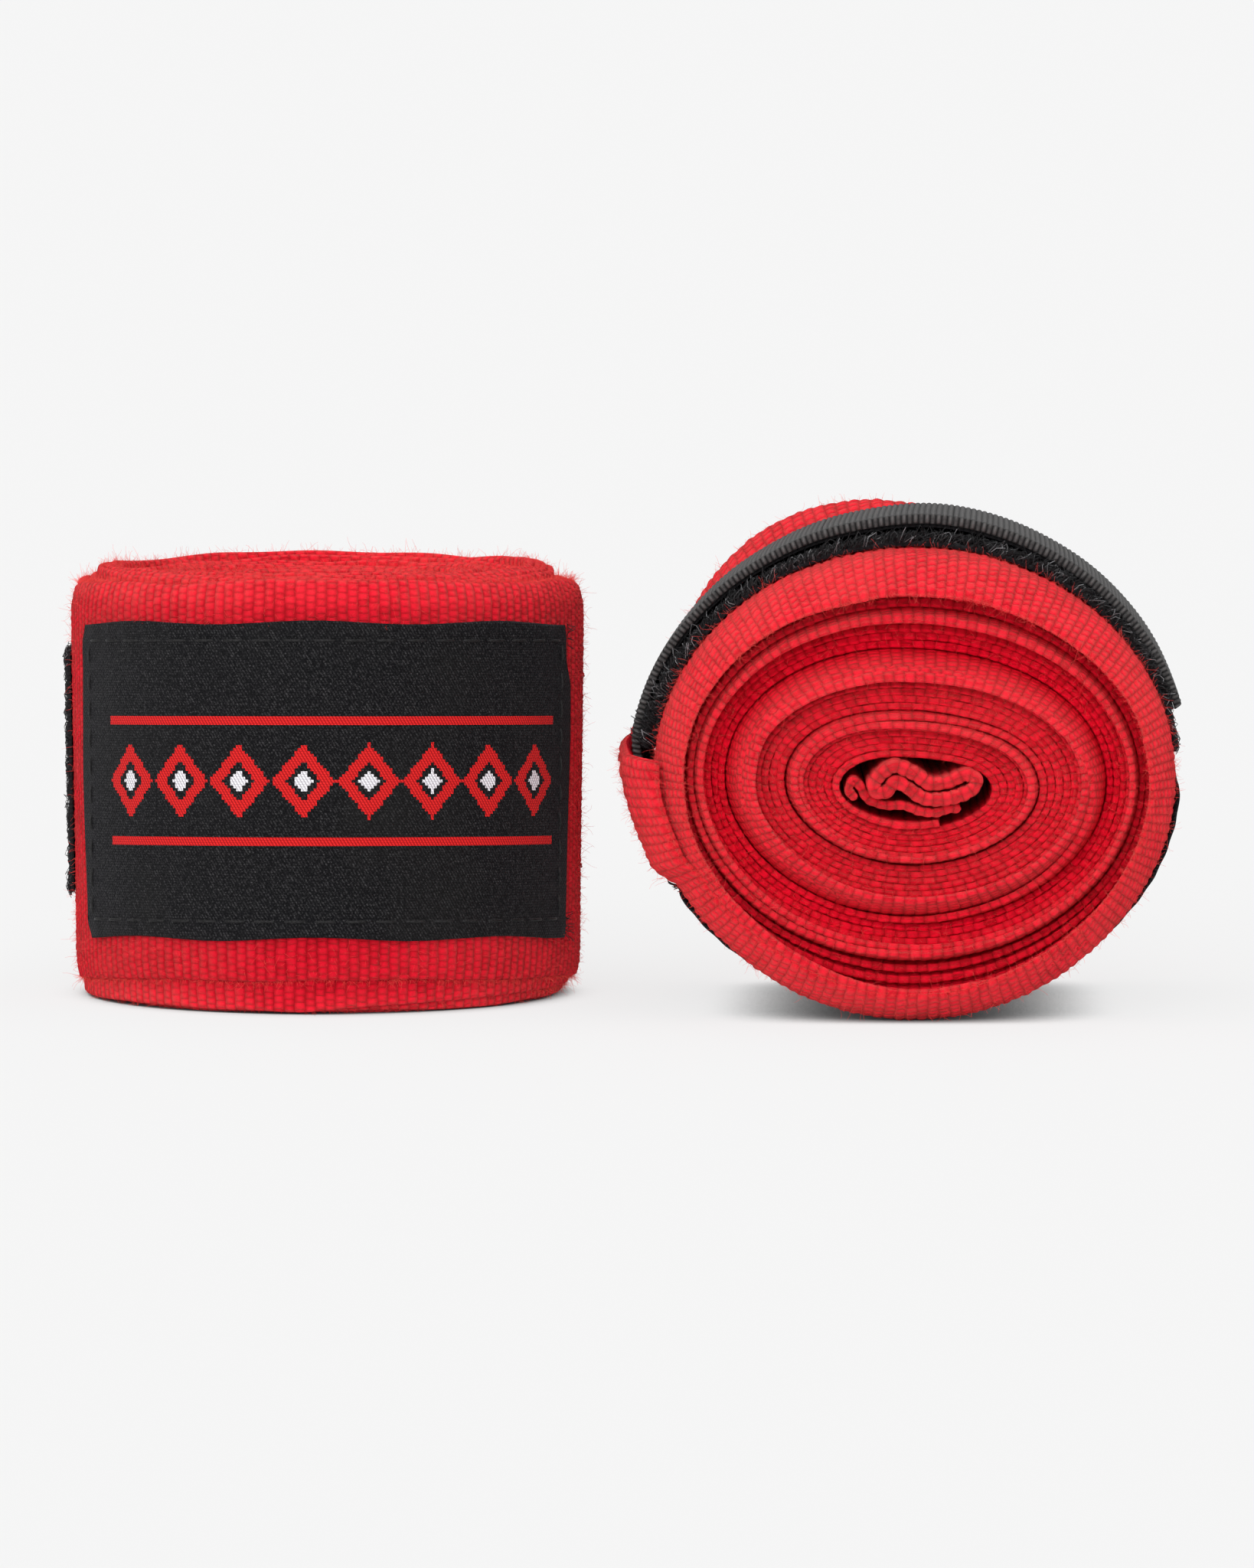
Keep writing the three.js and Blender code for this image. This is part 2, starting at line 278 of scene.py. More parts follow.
ROLL_B = Roll(
    "b", False, 175.0, 160.0,
    near=[(0, 49.8, 50), (0.08, 49.8, 50), (0.2, 50.2, 45), (0.35, 50.8, 43), (1.12, 50.8, 42),
          (1.3, 50.2, 38), (1.42, 47.0, 18), (1.9, 46.3, 12), (3.0, 46.2, 8), (5.7, 46.2, 6),
          (6.3, 49.0, 15), (7.1, 49.0, 14), (7.6, 46.6, 5), (9.0, 46.0, 2), (10.8, 45.3, 0),
          (11.2, 46.0, 10), (11.6, 50.3, 34), (12.0, 50.8, 36), (12.6, 49.6, 22), (13.4, 48.2, 8),
          (15.5, 47.4, 2), (19.4, 47.4, 2), (20.0, 49.3, 12), (20.8, 49.2, 10), (21.4, 47.6, 2),
          (23.5, 47.0, 0), (25.3, 47.1, 0), (26.4, 48.2, 0)],
    far=[(0, 0.3, 10), (1, 0.7, 10), (1.5, 1.5, 4), (4, 0.6, 3), (8, 1.6, 0), (12, 0.3, 0),
         (18, 1.2, 0), (26, 0.4, 0)],
    fullness=(0.0, -0.35), bias=0.42, lean=(1.3, 0.0), flare=(5.2, 118.0),
    hem=(1.1, 1.25, 2.3), root_thickness=1.0, strap_rise=(-16.0, 6.0), tip_pressed=0.75,
    sag=(0.0, 0.0), flattened=0.9, core=(-0.1, -1.3), near_flare=(2.0, 272.0), label_start=-184.0,
)


# ---------------------------------------------------------------- meshes


def new_piece(name, points, faces, material, uv=None, shade=None):
    """A smooth-shaded mesh piece in metres. uv holds, for each vertex, its millimetres along and
    across the cloth, which the weave materials read, and shade how much painted light each vertex
    has: 0 for painted shade and 1 for painted light."""
    mesh = bpy.data.meshes.new(name)
    count = len(points)
    mesh.vertices.add(count)
    mesh.vertices.foreach_set("co", np.asarray(points, np.float32).ravel())
    sizes = np.concatenate([np.full(len(f), f.shape[1]) for f in faces])
    corners = np.concatenate([f.ravel() for f in faces]).astype(np.int32)
    mesh.loops.add(len(corners))
    mesh.loops.foreach_set("vertex_index", corners)
    mesh.polygons.add(len(sizes))
    mesh.polygons.foreach_set("loop_start", np.r_[0, np.cumsum(sizes)[:-1]].astype(np.int32))
    mesh.polygons.foreach_set("loop_total", sizes.astype(np.int32))
    mesh.polygons.foreach_set("use_smooth", np.ones(len(sizes), bool))
    if uv is not None:
        layer = mesh.uv_layers.new(name="weave")
        layer.data.foreach_set("uv", np.asarray(uv, np.float32)[corners].ravel())
    if shade is not None:
        layer = mesh.uv_layers.new(name="shade")
        pairs = np.stack([shade, np.zeros(len(shade))], 1).astype(np.float32)
        layer.data.foreach_set("uv", pairs[corners].ravel())
    mesh.update(calc_edges=True)
    mesh.validate()
    piece = bpy.data.objects.new(name, mesh)
    bpy.context.scene.collection.objects.link(piece)
    piece.data.materials.append(material)
    return piece


def dress(piece, roll, slot, *replaced):
    """Fixes a piece to its roll's body, in place of the roll's parts that it replaces."""
    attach(piece, roll.name)
    if replaced:
        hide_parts(*(roll.node(part) for part in replaced))


def ring_faces(stations, around):
    """Quads of a closed tube of stations by around vertices, and its two end caps."""
    index = np.arange(stations * around).reshape(stations, around)
    after = np.roll(index, -1, axis=1)
    quads = np.stack([index[:-1], after[:-1], after[1:], index[1:]], -1).reshape(-1, 4)
    return [quads, index[:1, ::-1], index[-1:]]


def tubes(paths, radii, sides=3, up=(0.13, 0.27, 0.95)):
    """Many thin closed tubes at once, in one set of vertices and faces. paths is (count, points, 3),
    radii is (points,) or (count, points)."""
    count, steps = paths.shape[:2]
    tangent = np.gradient(paths, axis=1)
    tangent /= np.linalg.norm(tangent, axis=2, keepdims=True) + 1e-12
    side = np.cross(tangent, np.asarray(up, float))
    side /= np.linalg.norm(side, axis=2, keepdims=True) + 1e-12
    other = np.cross(tangent, side)
    turn = 2 * np.pi * np.arange(sides) / sides
    radii = np.broadcast_to(radii, (count, steps))[..., None, None]
    ring = np.cos(turn)[:, None] * side[:, :, None] + np.sin(turn)[:, None] * other[:, :, None]
    points = (paths[:, :, None] + radii * ring).reshape(-1, 3)
    index = np.arange(count * steps * sides).reshape(count, steps, sides)
    after = np.roll(index, -1, axis=2)
    quads = np.stack([index[:, :-1], index[:, 1:], after[:, 1:], after[:, :-1]], -1).reshape(-1, 4)
    return points, [quads, index[:, 0], index[:, -1, ::-1]]


def merged(parts):
    """Several (points, faces, uv) in one."""
    points, faces, uvs, first = [], [], [], 0
    for part_points, part_faces, part_uv in parts:
        points.append(part_points)
        faces += [f + first for f in part_faces]
        uvs.append(part_uv)
        first += len(part_points)
    return np.concatenate(points), faces, np.concatenate(uvs)


# ---------------------------------------------------------------- materials


class Nodes:
    """A material's node tree, built with short calls."""

    def __init__(self, name):
        self.material = bpy.data.materials.new(name)
        self.material.use_nodes = True
        self.tree = self.material.node_tree
        self.shader = self.tree.nodes["Principled BSDF"]

    def link(self, source, target):
        self.tree.links.new(source, target)

    def add(self, kind, **settings):
        node = self.tree.nodes.new(kind)
        for key, value in settings.items():
            setattr(node, key, value)
        return node

    def feed(self, node, values):
        for socket, value in zip(node.inputs, values):
            if isinstance(value, bpy.types.NodeSocket):
                self.link(value, socket)
            elif value is not None:
                socket.default_value = value

    def math(self, operation, *values, clamp=False):
        node = self.add("ShaderNodeMath", operation=operation, use_clamp=clamp)
        self.feed(node, values)
        return node.outputs[0]

    def weave(self):
        """The two weave coordinates, in millimetres along and across the cloth."""
        split = self.add("ShaderNodeSeparateXYZ")
        self.link(self.add("ShaderNodeUVMap", uv_map="weave").outputs[0], split.inputs[0])
        return split.outputs[0], split.outputs[1]

    def noise(self, scale, detail=3.0, rough=0.6):
        """Noise over the object's own place, in cells per metre."""
        node = self.add("ShaderNodeTexNoise")
        node.inputs["Scale"].default_value = scale
        node.inputs["Detail"].default_value = detail
        node.inputs["Roughness"].default_value = rough
        self.link(self.add("ShaderNodeTexCoord").outputs["Object"], node.inputs["Vector"])
        return node.outputs[0]

    def cell(self, first, second):
        """A chance value for each whole step of two coordinates."""
        place = self.add("ShaderNodeCombineXYZ")
        self.feed(place, [self.math("FLOOR", first), self.math("FLOOR", second)])
        chance = self.add("ShaderNodeTexWhiteNoise", noise_dimensions="2D")
        self.link(place.outputs[0], chance.inputs["Vector"])
        return chance.outputs["Value"]

    def range(self, value, low, high, to_low=0.0, to_high=1.0):
        node = self.add("ShaderNodeMapRange")
        self.feed(node, [value, low, high, to_low, to_high])
        return node.outputs[0]

    def soft_range(self, value, low, high):
        node = self.add("ShaderNodeMapRange", interpolation_type="SMOOTHSTEP")
        self.feed(node, [value, low, high])
        return node.outputs[0]

    def mix(self, share, first, second):
        node = self.add("ShaderNodeMix", data_type="RGBA")
        colours = [s for s in node.inputs if s.type == "RGBA"]
        for socket, value in ((node.inputs[0], share), (colours[0], first), (colours[1], second)):
            if isinstance(value, bpy.types.NodeSocket):
                self.link(value, socket)
            else:
                socket.default_value = value if isinstance(value, float) else (*value, 1.0)
        return next(s for s in node.outputs if s.type == "RGBA")

    def bump(self, height, distance_mm, strength=1.0):
        node = self.add("ShaderNodeBump")
        node.inputs["Distance"].default_value = distance_mm * MM
        node.inputs["Strength"].default_value = strength
        self.link(height, node.inputs["Height"])
        self.link(node.outputs[0], self.shader.inputs["Normal"])

    def finish(self, colour, roughness, sheen=0.0, sheen_tint=(1, 1, 1), sheen_roughness=0.5,
               specular=0.5):
        for socket, value in (("Base Color", colour), ("Roughness", roughness)):
            if isinstance(value, bpy.types.NodeSocket):
                self.link(value, self.shader.inputs[socket])
            else:
                self.shader.inputs[socket].default_value = value
        if sheen is not None:
            self.shader.inputs["Sheen Weight"].default_value = sheen
        self.shader.inputs["Sheen Tint"].default_value = (*sheen_tint, 1.0)
        self.shader.inputs["Sheen Roughness"].default_value = sheen_roughness
        self.shader.inputs["Specular IOR Level"].default_value = specular
        return self.material


def ridge(nodes, coordinate, period, shift=0.0, power=0.7):
    """0 in the groove between two yarns and 1 on top of one."""
    phase = nodes.math("MULTIPLY_ADD", coordinate, np.pi / period, shift)
    return nodes.math("POWER", nodes.math("ABSOLUTE", nodes.math("SINE", phase)), power)


def cloth_material(name, depth):
    """Napped cotton: ribs across the band, each a string of plump yarn bumps, staggered from rib to
    rib. As painted shade, the red is deeper in the grooves between yarns and where the cloth lies
    buried in the coil; as painted light, it is brighter at the coil's rims and on the last turn.
    depth is how much darker still the painted shade makes cloth that is not fully painted lit; it
    sets one roll in more painted shade than the other."""
    nodes = Nodes(name)
    along, across = nodes.weave()
    drift = nodes.noise(260, 2.0)
    along = nodes.math("MULTIPLY_ADD", drift, 0.5, along)
    across = nodes.math("MULTIPLY_ADD", nodes.noise(310, 2.0), 0.5, across)
    parity = nodes.math("MODULO", nodes.math("FLOOR", nodes.math("DIVIDE", along, RIB)), 2.0)
    shift = nodes.math("MULTIPLY", parity, np.pi / 2)
    phase = nodes.math("ADD", nodes.math("MULTIPLY", across, np.pi / ROW), shift)
    bumps = nodes.math("POWER", nodes.math("ABSOLUTE", nodes.math("SINE", phase)), 0.7)
    ribs = ridge(nodes, along, RIB)
    fibres = nodes.noise(4200, 4.0, 0.78)
    yarn = nodes.math("MULTIPLY", ribs, nodes.math("MULTIPLY_ADD", bumps, 0.7, 0.3))
    height = nodes.math("MULTIPLY_ADD", fibres, 0.8, yarn)
    # lit: yarn tops painted lighter than the grooves between them, as painted shade, with random fibre
    # and cell tone.
    lit = nodes.math("MULTIPLY_ADD", fibres, 0.7, nodes.math("MULTIPLY", yarn, 0.8))
    cell = nodes.cell(nodes.math("DIVIDE", along, RIB), nodes.math("DIVIDE", phase, np.pi))
    lit = nodes.math("MULTIPLY_ADD", cell, 0.42, nodes.math("SUBTRACT", lit, 0.21))
    share = nodes.range(lit, 0.25, 1.1)
    # Two copies of the same red: one painted lit, and one painted in shade for buried cloth.
    painted_lit_colour = nodes.mix(share, (0.46, 0.0005, 0.0085), (1.0, 0.012, 0.036))
    tone = nodes.range(nodes.noise(80, 3.0), 0.35, 0.7, 0.0, 0.25)
    painted_lit_colour = nodes.mix(tone, painted_lit_colour, (1.0, 0.052, 0.058))
    buried = nodes.mix(share, (0.52, 0.0004, 0.0090), (0.96, 0.0030, 0.0260))
    # The shade map: the share of painted light, 0 for painted shade deep in the coil and 1 for painted
    # light at the rims. The sheen weight follows it too.
    split = nodes.add("ShaderNodeSeparateXYZ")
    nodes.link(nodes.add("ShaderNodeUVMap", uv_map="shade").outputs[0], split.inputs[0])
    painted_light = split.outputs[0]
    nodes.link(nodes.math("MULTIPLY", painted_light, 0.25), nodes.shader.inputs["Sheen Weight"])
    nodes.bump(height, 0.55, 0.9)
    # Painted shade: cloth that is not fully painted lit is darkened further by depth, which paints roll
    # a in more shade than roll b.
    painted_shade_share = nodes.math("MULTIPLY_ADD", painted_light, -depth, depth)
    colour = nodes.mix(painted_shade_share, nodes.mix(painted_light, buried, painted_lit_colour), (0.0, 0.0, 0.0))
    return nodes.finish(colour, 0.95, None, (1.0, 0.44, 0.34), 0.4, 0.05)


def fuzz_material():
    nodes = Nodes("red_fibre")
    colour = nodes.mix(nodes.noise(700), (0.74, 0.014, 0.022), (0.95, 0.10, 0.08))
    return nodes.finish(colour, 0.8, 0.2, (1.0, 0.5, 0.4), 0.4, 0.1)


def webbing_material():
    """Black polyester webbing, ribbed across its width."""
    nodes = Nodes("webbing")
    along, across = nodes.weave()
    parity = nodes.math("MODULO", nodes.math("FLOOR", nodes.math("DIVIDE", along, WEBBING_RIB)), 2.0)
    phase = nodes.math("MULTIPLY_ADD", across, np.pi / 0.5, nodes.math("MULTIPLY", parity, 1.57))
    picks = nodes.math("POWER", nodes.math("ABSOLUTE", nodes.math("SINE", phase)), 0.8)
    ribs = ridge(nodes, along, WEBBING_RIB)
    strands = nodes.noise(9000, 2.0)
    yarn = nodes.math("MULTIPLY", ribs, nodes.math("MULTIPLY_ADD", picks, 0.45, 0.55))
    height = nodes.math("MULTIPLY_ADD", strands, 0.25, yarn)
    # Painted highlight on the rib tops, and painted shade in the grooves between them.
    lit = nodes.math("POWER", yarn, 1.6)
    colour = nodes.mix(lit, (0.0012, 0.0012, 0.0015), (0.075, 0.072, 0.071))
    nodes.bump(height, 0.28, 1.0)
    return nodes.finish(colour, nodes.range(strands, 0.3, 0.7, 0.5, 0.7), 0.06, (1, 1, 1), 0.35, 0.3)


def tape_material():
    """The woven backing of the hook and loop tapes."""
    nodes = Nodes("tape_backing")
    along, across = nodes.weave()
    yarn = nodes.math("MULTIPLY", ridge(nodes, along, 0.7), ridge(nodes, across, 0.55))
    strands = nodes.noise(6000, 3.0)
    # Painted highlight on the yarn tops, and painted shade in the grooves between them.
    colour = nodes.mix(yarn, (0.002, 0.002, 0.0025), (0.012, 0.011, 0.012))
    nodes.bump(nodes.math("MULTIPLY_ADD", strands, 0.4, yarn), 0.15, 0.8)
    return nodes.finish(colour, 0.8, 0.08, (0.9, 0.9, 1.0), 0.5, 0.12)


def filament_material(name, dark, light, roughness):
    """Fine filaments, a few of them much lighter than the rest."""
    nodes = Nodes(name)
    chance, _ = nodes.weave()
    colour = nodes.mix(nodes.range(chance, 0.80, 1.0), dark, light)
    return nodes.finish(colour, roughness, 0.05, (1, 1, 1), 0.4, 0.3)


def label_material():
    """Black damask with an even trim woven along its whole length: a chain of small red lozenges
    with white centres between two red lines. The trim's edges go in steps, as woven ones do."""
    nodes = Nodes("label")
    along, across = nodes.weave()

    def stepped(value):
        steps = nodes.math("ROUND", nodes.math("DIVIDE", value, PATTERN_STEP))
        return nodes.math("MULTIPLY", steps, PATTERN_STEP)

    x, y = stepped(along), stepped(across)

    def between(value, low, high):
        over = nodes.math("GREATER_THAN", value, low)
        return nodes.math("MULTIPLY", over, nodes.math("LESS_THAN", value, high))

    def off_middle(value, start, period):
        """Distance from the nearest middle of a row that begins at start."""
        near = nodes.math("SUBTRACT", value, start + period / 2)
        return nodes.math("ABSOLUTE", nodes.math("WRAP", near, period / 2, -period / 2))

    from_middle = nodes.math("ABSOLUTE", nodes.math("SUBTRACT", y, TRIM_MIDDLE))
    share = nodes.math("DIVIDE", off_middle(x, TRIM_START, TRIM_PERIOD), TRIM_PERIOD / 2)
    share = nodes.math("ADD", share, nodes.math("DIVIDE", from_middle, TRIM_HALF))
    on_trim = between(x, TRIM_START, TRIM_END)
    lines = between(from_middle, TRIM_LINE, TRIM_LINE + TRIM_LINE_WIDTH)
    red = nodes.math("MAXIMUM", between(share, 0.52, 0.97), lines)
    red = nodes.math("MULTIPLY", red, on_trim)
    white = nodes.math("MULTIPLY", nodes.math("LESS_THAN", share, 0.30), on_trim)

    twill = nodes.math("MULTIPLY_ADD", across, 0.55, along)
    twill = ridge(nodes, twill, 0.36, 0.0, 1.0)
    picks = ridge(nodes, across, 0.30, 0.0, 1.0)
    specks = nodes.noise(3600, 3.0, 0.8)
    weave = nodes.math("MULTIPLY", twill, nodes.math("MULTIPLY_ADD", picks, 0.6, 0.4))
    # Painted glints where twill yarn tops catch light, and painted shade in the weave's grooves: the
    # ground and the red and white yarns are all lighter on the yarn tops.
    painted_glint = nodes.math("MULTIPLY", weave, nodes.range(specks, 0.46, 0.74), clamp=True)
    smudge = nodes.range(nodes.noise(70, 2.0), 0.45, 0.75, 0.0, 0.35)
    ground = nodes.mix(painted_glint, (0.0025, 0.0024, 0.0032), (0.080, 0.077, 0.080))
    ground = nodes.mix(smudge, ground, (0.013, 0.0125, 0.0115))
    red_yarn = nodes.mix(weave, (0.30, 0.0025, 0.006), (0.74, 0.022, 0.020))
    white_yarn = nodes.mix(weave, (0.40, 0.38, 0.41), (0.88, 0.86, 0.90))
    colour = nodes.mix(red, ground, red_yarn)
    colour = nodes.mix(white, colour, white_yarn)
    raised = nodes.math("MULTIPLY", nodes.math("MAXIMUM", red, white), 0.8)
    nodes.bump(nodes.math("ADD", nodes.math("MULTIPLY_ADD", specks, 0.6, weave), raised), 0.13, 0.9)
    return nodes.finish(colour, nodes.range(specks, 0.3, 0.7, 0.6, 0.85), 0.03, (0.9, 0.9, 1.0),
                        0.35, 0.10)


# The label's woven trim, in millimetres along it from its strap end and up from its lower edge
PATTERN_STEP = 0.34
TRIM_START, TRIM_PERIOD = 6.5, 7.1
TRIM_END = TRIM_START + 8 * TRIM_PERIOD
TRIM_MIDDLE, TRIM_HALF = 18.7, 4.6
TRIM_LINE, TRIM_LINE_WIDTH = 6.6, 1.1


def thread_material(name, dark, light):
    nodes = Nodes(name)
    colour = nodes.mix(nodes.range(nodes.noise(4000, 2.0), 0.35, 0.7), dark, light)
    nodes.bump(nodes.noise(7000, 2.0), 0.06, 0.6)
    return nodes.finish(colour, 0.6, 0.06, (1, 1, 1), 0.4, 0.2)


# The same red twice: roll a's cloth is painted darker than roll b's, as painted shade.
CLOTH_RED = {"a": cloth_material("band_cloth_a", 0.45), "b": cloth_material("band_cloth_b", 0.0)}
FUZZ_RED = fuzz_material()
BLACK_WEBBING = webbing_material()
TAPE = tape_material()
PILE = filament_material("loop_pile", (0.003, 0.003, 0.004), (0.25, 0.25, 0.26), 0.55)
HOOKS = filament_material("hook_nylon", (0.004, 0.004, 0.005), (0.02, 0.02, 0.02), 0.4)
LABEL = label_material()
BLACK_THREAD = thread_material("black_thread", (0.002, 0.002, 0.002), (0.018, 0.017, 0.018))
RED_THREAD = thread_material("red_thread", (0.26, 0.003, 0.008), (0.55, 0.012, 0.016))


# ---------------------------------------------------------------- the band


def rib_height(along, across):
    """0 in a groove of the cloth and up to 1 on a yarn bump."""
    along, across = np.broadcast_arrays(along, across)
    column = (along + 0.12 * np.sin(0.9 * across + 0.31 * along)) / RIB
    row = across / ROW + 0.5 * np.mod(np.floor(column), 2) + 0.15 * np.sin(0.83 * along)
    ribs = np.abs(np.sin(np.pi * column)) ** 0.7
    bumps = np.abs(np.sin(np.pi * row)) ** 0.7
    uneven = 1 + 0.4 * np.sin(1.7 * along + 2.1 * across) * np.sin(0.6 * along - 1.1 * across)
    return ribs * (0.4 + 0.6 * bumps) * uneven


def length_along(turn):
    """Millimetres of cloth from the coil's middle radius, by turn angle."""
    return np.radians(turn) * (LAST_RADIUS + TURN_PITCH * np.asarray(turn) / (2 * FULL_TURN))


def hem_share(turn):
    return smooth(HEM_START - HEM_RAMP, HEM_START, turn)


def rounded(distance, reach):
    """Half-thickness share near a rounded edge."""
    past = 1 - np.clip(distance / reach, 0, 1)
    return np.sqrt(np.clip(1 - past * past, 0, 1))


def band_strip(roll, turns, samples_per_rib, edge_steps, middle_steps, cloth, rib_height_here):
    """(points, faces, uv, outer face, shade) of one stretch of the coiled band."""
    first_turn, last_turn = turns
    rounded_end = last_turn == 0
    first, last = length_along(first_turn), length_along(last_turn)
    steps = max(8, int((last - first) / RIB * samples_per_rib))
    fine = np.linspace(first_turn, last_turn, 20001)
    along = np.linspace(first, last, steps)
    turn = np.interp(along, length_along(fine), fine)
    low, high = (edge[:, None] for edge in roll.edges(turn))
    low = low + (0.45 if roll.standing else 0.2) * waves(along, 11, 37.0)[:, None]
    high = high + 0.2 * waves(along, 12, 29.0)[:, None]
    steps_in = np.asarray(edge_steps, float)
    middle = np.linspace(0, 1, middle_steps + 2)[1:-1]
    reach = steps_in[-1]
    up = np.concatenate(
        [low + steps_in, low + reach + (high - low - 2 * reach) * middle, high - steps_in[::-1]], 1
    )
    edge_distance = np.minimum(up - low, high - up)
    hem = hem_share(turn)[:, None]
    half = (cloth + (roll.hem_thickness - cloth) * hem) / 2 * rounded(edge_distance, 0.4)
    if rounded_end:
        half = half * np.maximum(rounded((last - along)[:, None], 1.0), 0.05)
    rise = roll.hem_lift(turn[:, None], up)
    sway = 0.05 * waves(along, 13, 23.0)[:, None] * (1 - hem)
    ribs = rib_height_here * rib_height(along[:, None], up) * rounded(edge_distance, 0.25)
    ribs = ribs * np.where(edge_distance < 0.01, 0.4, 1.0)
    centre = CLOTH / 2 + rise + (roll.hem_thickness - CLOTH) / 2 * hem + sway
    outer = roll.place(turn[:, None], centre + half + ribs, up)
    inner = roll.place(turn[:, None], centre - half - 0.5 * ribs, up)[:, ::-1]
    points = np.concatenate([outer, inner], 1)
    uv_outer = np.stack(np.broadcast_arrays(along[:, None], up), -1)
    uv = np.concatenate([uv_outer, uv_outer[:, ::-1]], 1)
    around = points.shape[1]
    # Painted light share of each vertex: painted shade where the cloth is buried in the coil, and
    # painted light at the rims and on the last turn's outer face.
    painted_lit_outer = painted_light_by_height(turn[:, None], outer[..., 2])
    # On the standing roll the last turn's outer face gets less painted light, as painted shade.
    last_turn_painted_light = (0.62 if roll.standing else 1.0) * (turn[:, None] > -1.12 * FULL_TURN)
    painted_lit_outer = np.maximum(painted_lit_outer, last_turn_painted_light)
    shade = np.concatenate([painted_lit_outer, painted_light_by_height(turn[:, None], inner[..., 2])], 1)
    return points.reshape(-1, 3), ring_faces(steps, around), uv.reshape(-1, 2), outer, shade.ravel()


# Distances in from a loose edge at which its rounding is modelled
LOOSE_EDGE_STEPS = np.array([0, 0.12, 0.32, 0.65, 1.2, 2.2, 4.0])
# The band's inner end, as a line across the core from where it leaves the first turn
CORE_TAIL = [(5.6, -1.7), (4.2, -1.75), (2.6, -2.15), (0.9, -2.0), (-1.2, -1.35), (-3.4, -1.35),
             (-5.3, -0.6), (-6.2, 0.9), (-7.0, 1.6), (-7.5, 0.5), (-6.7, -0.6)]


def between_points(p0, p1, p2, p3, f):
    """Catmull-Rom: places at shares f of the way from p1 to p2."""
    return 0.5 * (
        2 * p1 + (p2 - p0) * f + (2 * p0 - 5 * p1 + 4 * p2 - p3) * f**2
        + (3 * p1 - p0 - 3 * p2 + p3) * f**3
    )


def open_curve(points, steps):
    """A smooth curve through the points, and its unit normals."""
    points = np.asarray(points, float)
    padded = np.concatenate([2 * points[:1] - points[1:2], points, 2 * points[-1:] - points[-2:-1]])
    t = np.linspace(0, len(points) - 1.0001, steps)
    i = np.floor(t).astype(int)
    f = (t - i)[:, None]
    line = between_points(*(padded[i + k] for k in range(4)), f)
    ahead = np.gradient(line, axis=0)
    ahead /= np.linalg.norm(ahead, axis=1, keepdims=True)
    return line, np.stack([ahead[:, 1], -ahead[:, 0]], 1)


def core_tail(roll):
    """The band's inner end, folded back inside the first turn."""
    steps = 90
    line, normal = open_curve(CORE_TAIL, steps)
    along = np.r_[0, np.cumsum(np.linalg.norm(np.diff(line, axis=0), axis=1))]
    steps_in = LOOSE_EDGE_STEPS
    up = np.concatenate([1.2 + steps_in, 47.6 - steps_in[::-1]])[None, :] + np.zeros((steps, 1))
    up = up + 0.5 * np.sin(along / 2.3)[:, None] * smooth(30, 46, up)
    distance = np.minimum(up - up.min(1, keepdims=True), up.max(1, keepdims=True) - up)
    ends = np.minimum(along, along[-1] - along)[:, None]
    half = 0.46 * rounded(distance, 0.42) * np.maximum(rounded(ends, 0.5), 0.1)
    ribs = 0.12 * rib_height(along[:, None], up) * rounded(distance, 0.3)

    def face(sign):
        flat = line[:, None] + sign * normal[:, None] * (half + ribs)[..., None]
        return np.concatenate([flat, up[..., None]], -1)

    points = np.concatenate([face(1), face(-1)[:, ::-1]], 1) + [*roll.core, 0.0] - LENS_MIDDLE
    uv = np.stack(np.broadcast_arrays(along[:, None], up), -1)
    uv = np.concatenate([uv, uv[:, ::-1]], 1)
    # Painted light near the coil's near rim, and painted shade deeper down in the core.
    shade = smooth(42.0, 49.0, points[..., 2])
    flat_points = points.reshape(-1, 3)
    return flat_points, ring_faces(steps, points.shape[1]), uv.reshape(-1, 2), shade.ravel()


def painted_light_by_height(turn, height):
    """Share of painted light by height: 0, as painted shade, where cloth is buried in the coil,
    and 1, as painted light, where it stands out at either rim.
    """
    return np.maximum(smooth(44.5, 50.3, height), smooth(6.0, 1.0, height)) + 0 * turn


OUTER_SPLIT = -405.0
BURIED_CLOTH, BURIED_RIB_HEIGHT = 0.76, 0.12


def band(roll):
    """The whole band: the buried turns, and the last one in finer mesh."""
    edge_steps = [0, 0.1, 0.28, 0.6, 1.1, 1.9, 3.2, 5.0, 7.4]
    inner = band_strip(roll, (-TURNS * FULL_TURN, OUTER_SPLIT), 3, edge_steps, 2,
                       BURIED_CLOTH, BURIED_RIB_HEIGHT)
    outer = band_strip(roll, (OUTER_SPLIT, 0.0), 4, [0, 0.1, 0.28, 0.5],
                       190, CLOTH, RIB_HEIGHT)
    tail = core_tail(roll)
    points, faces, uv = merged([inner[:3], outer[:3], tail[:3]])
    shade = np.concatenate([inner[4], outer[4], tail[3]])
    places = roll.world(points)
    places[:, 2] = np.maximum(places[:, 2], 0.0)
    piece = new_piece(roll.node("band_cloth"), places, faces, CLOTH_RED[roll.letter], uv, shade)
    dress(piece, roll, "band_cloth", "band")
    roll.node("thumb_loop_cloth")
    return inner[3], outer[3]


# ---------------------------------------------------------------- the thumb loop


LENS_MIDDLE = np.array([0.0, 0.45, 0.0])
LOOP_SPINE = [(-3.8, 1.1), (-2.2, 2.5), (-0.3, 1.7), (1.6, 0.5), (4.1, 0.6), (6.4, 1.5)]
LOOP_HALF_OPEN = 0.92
LOOP_HALF = 0.72


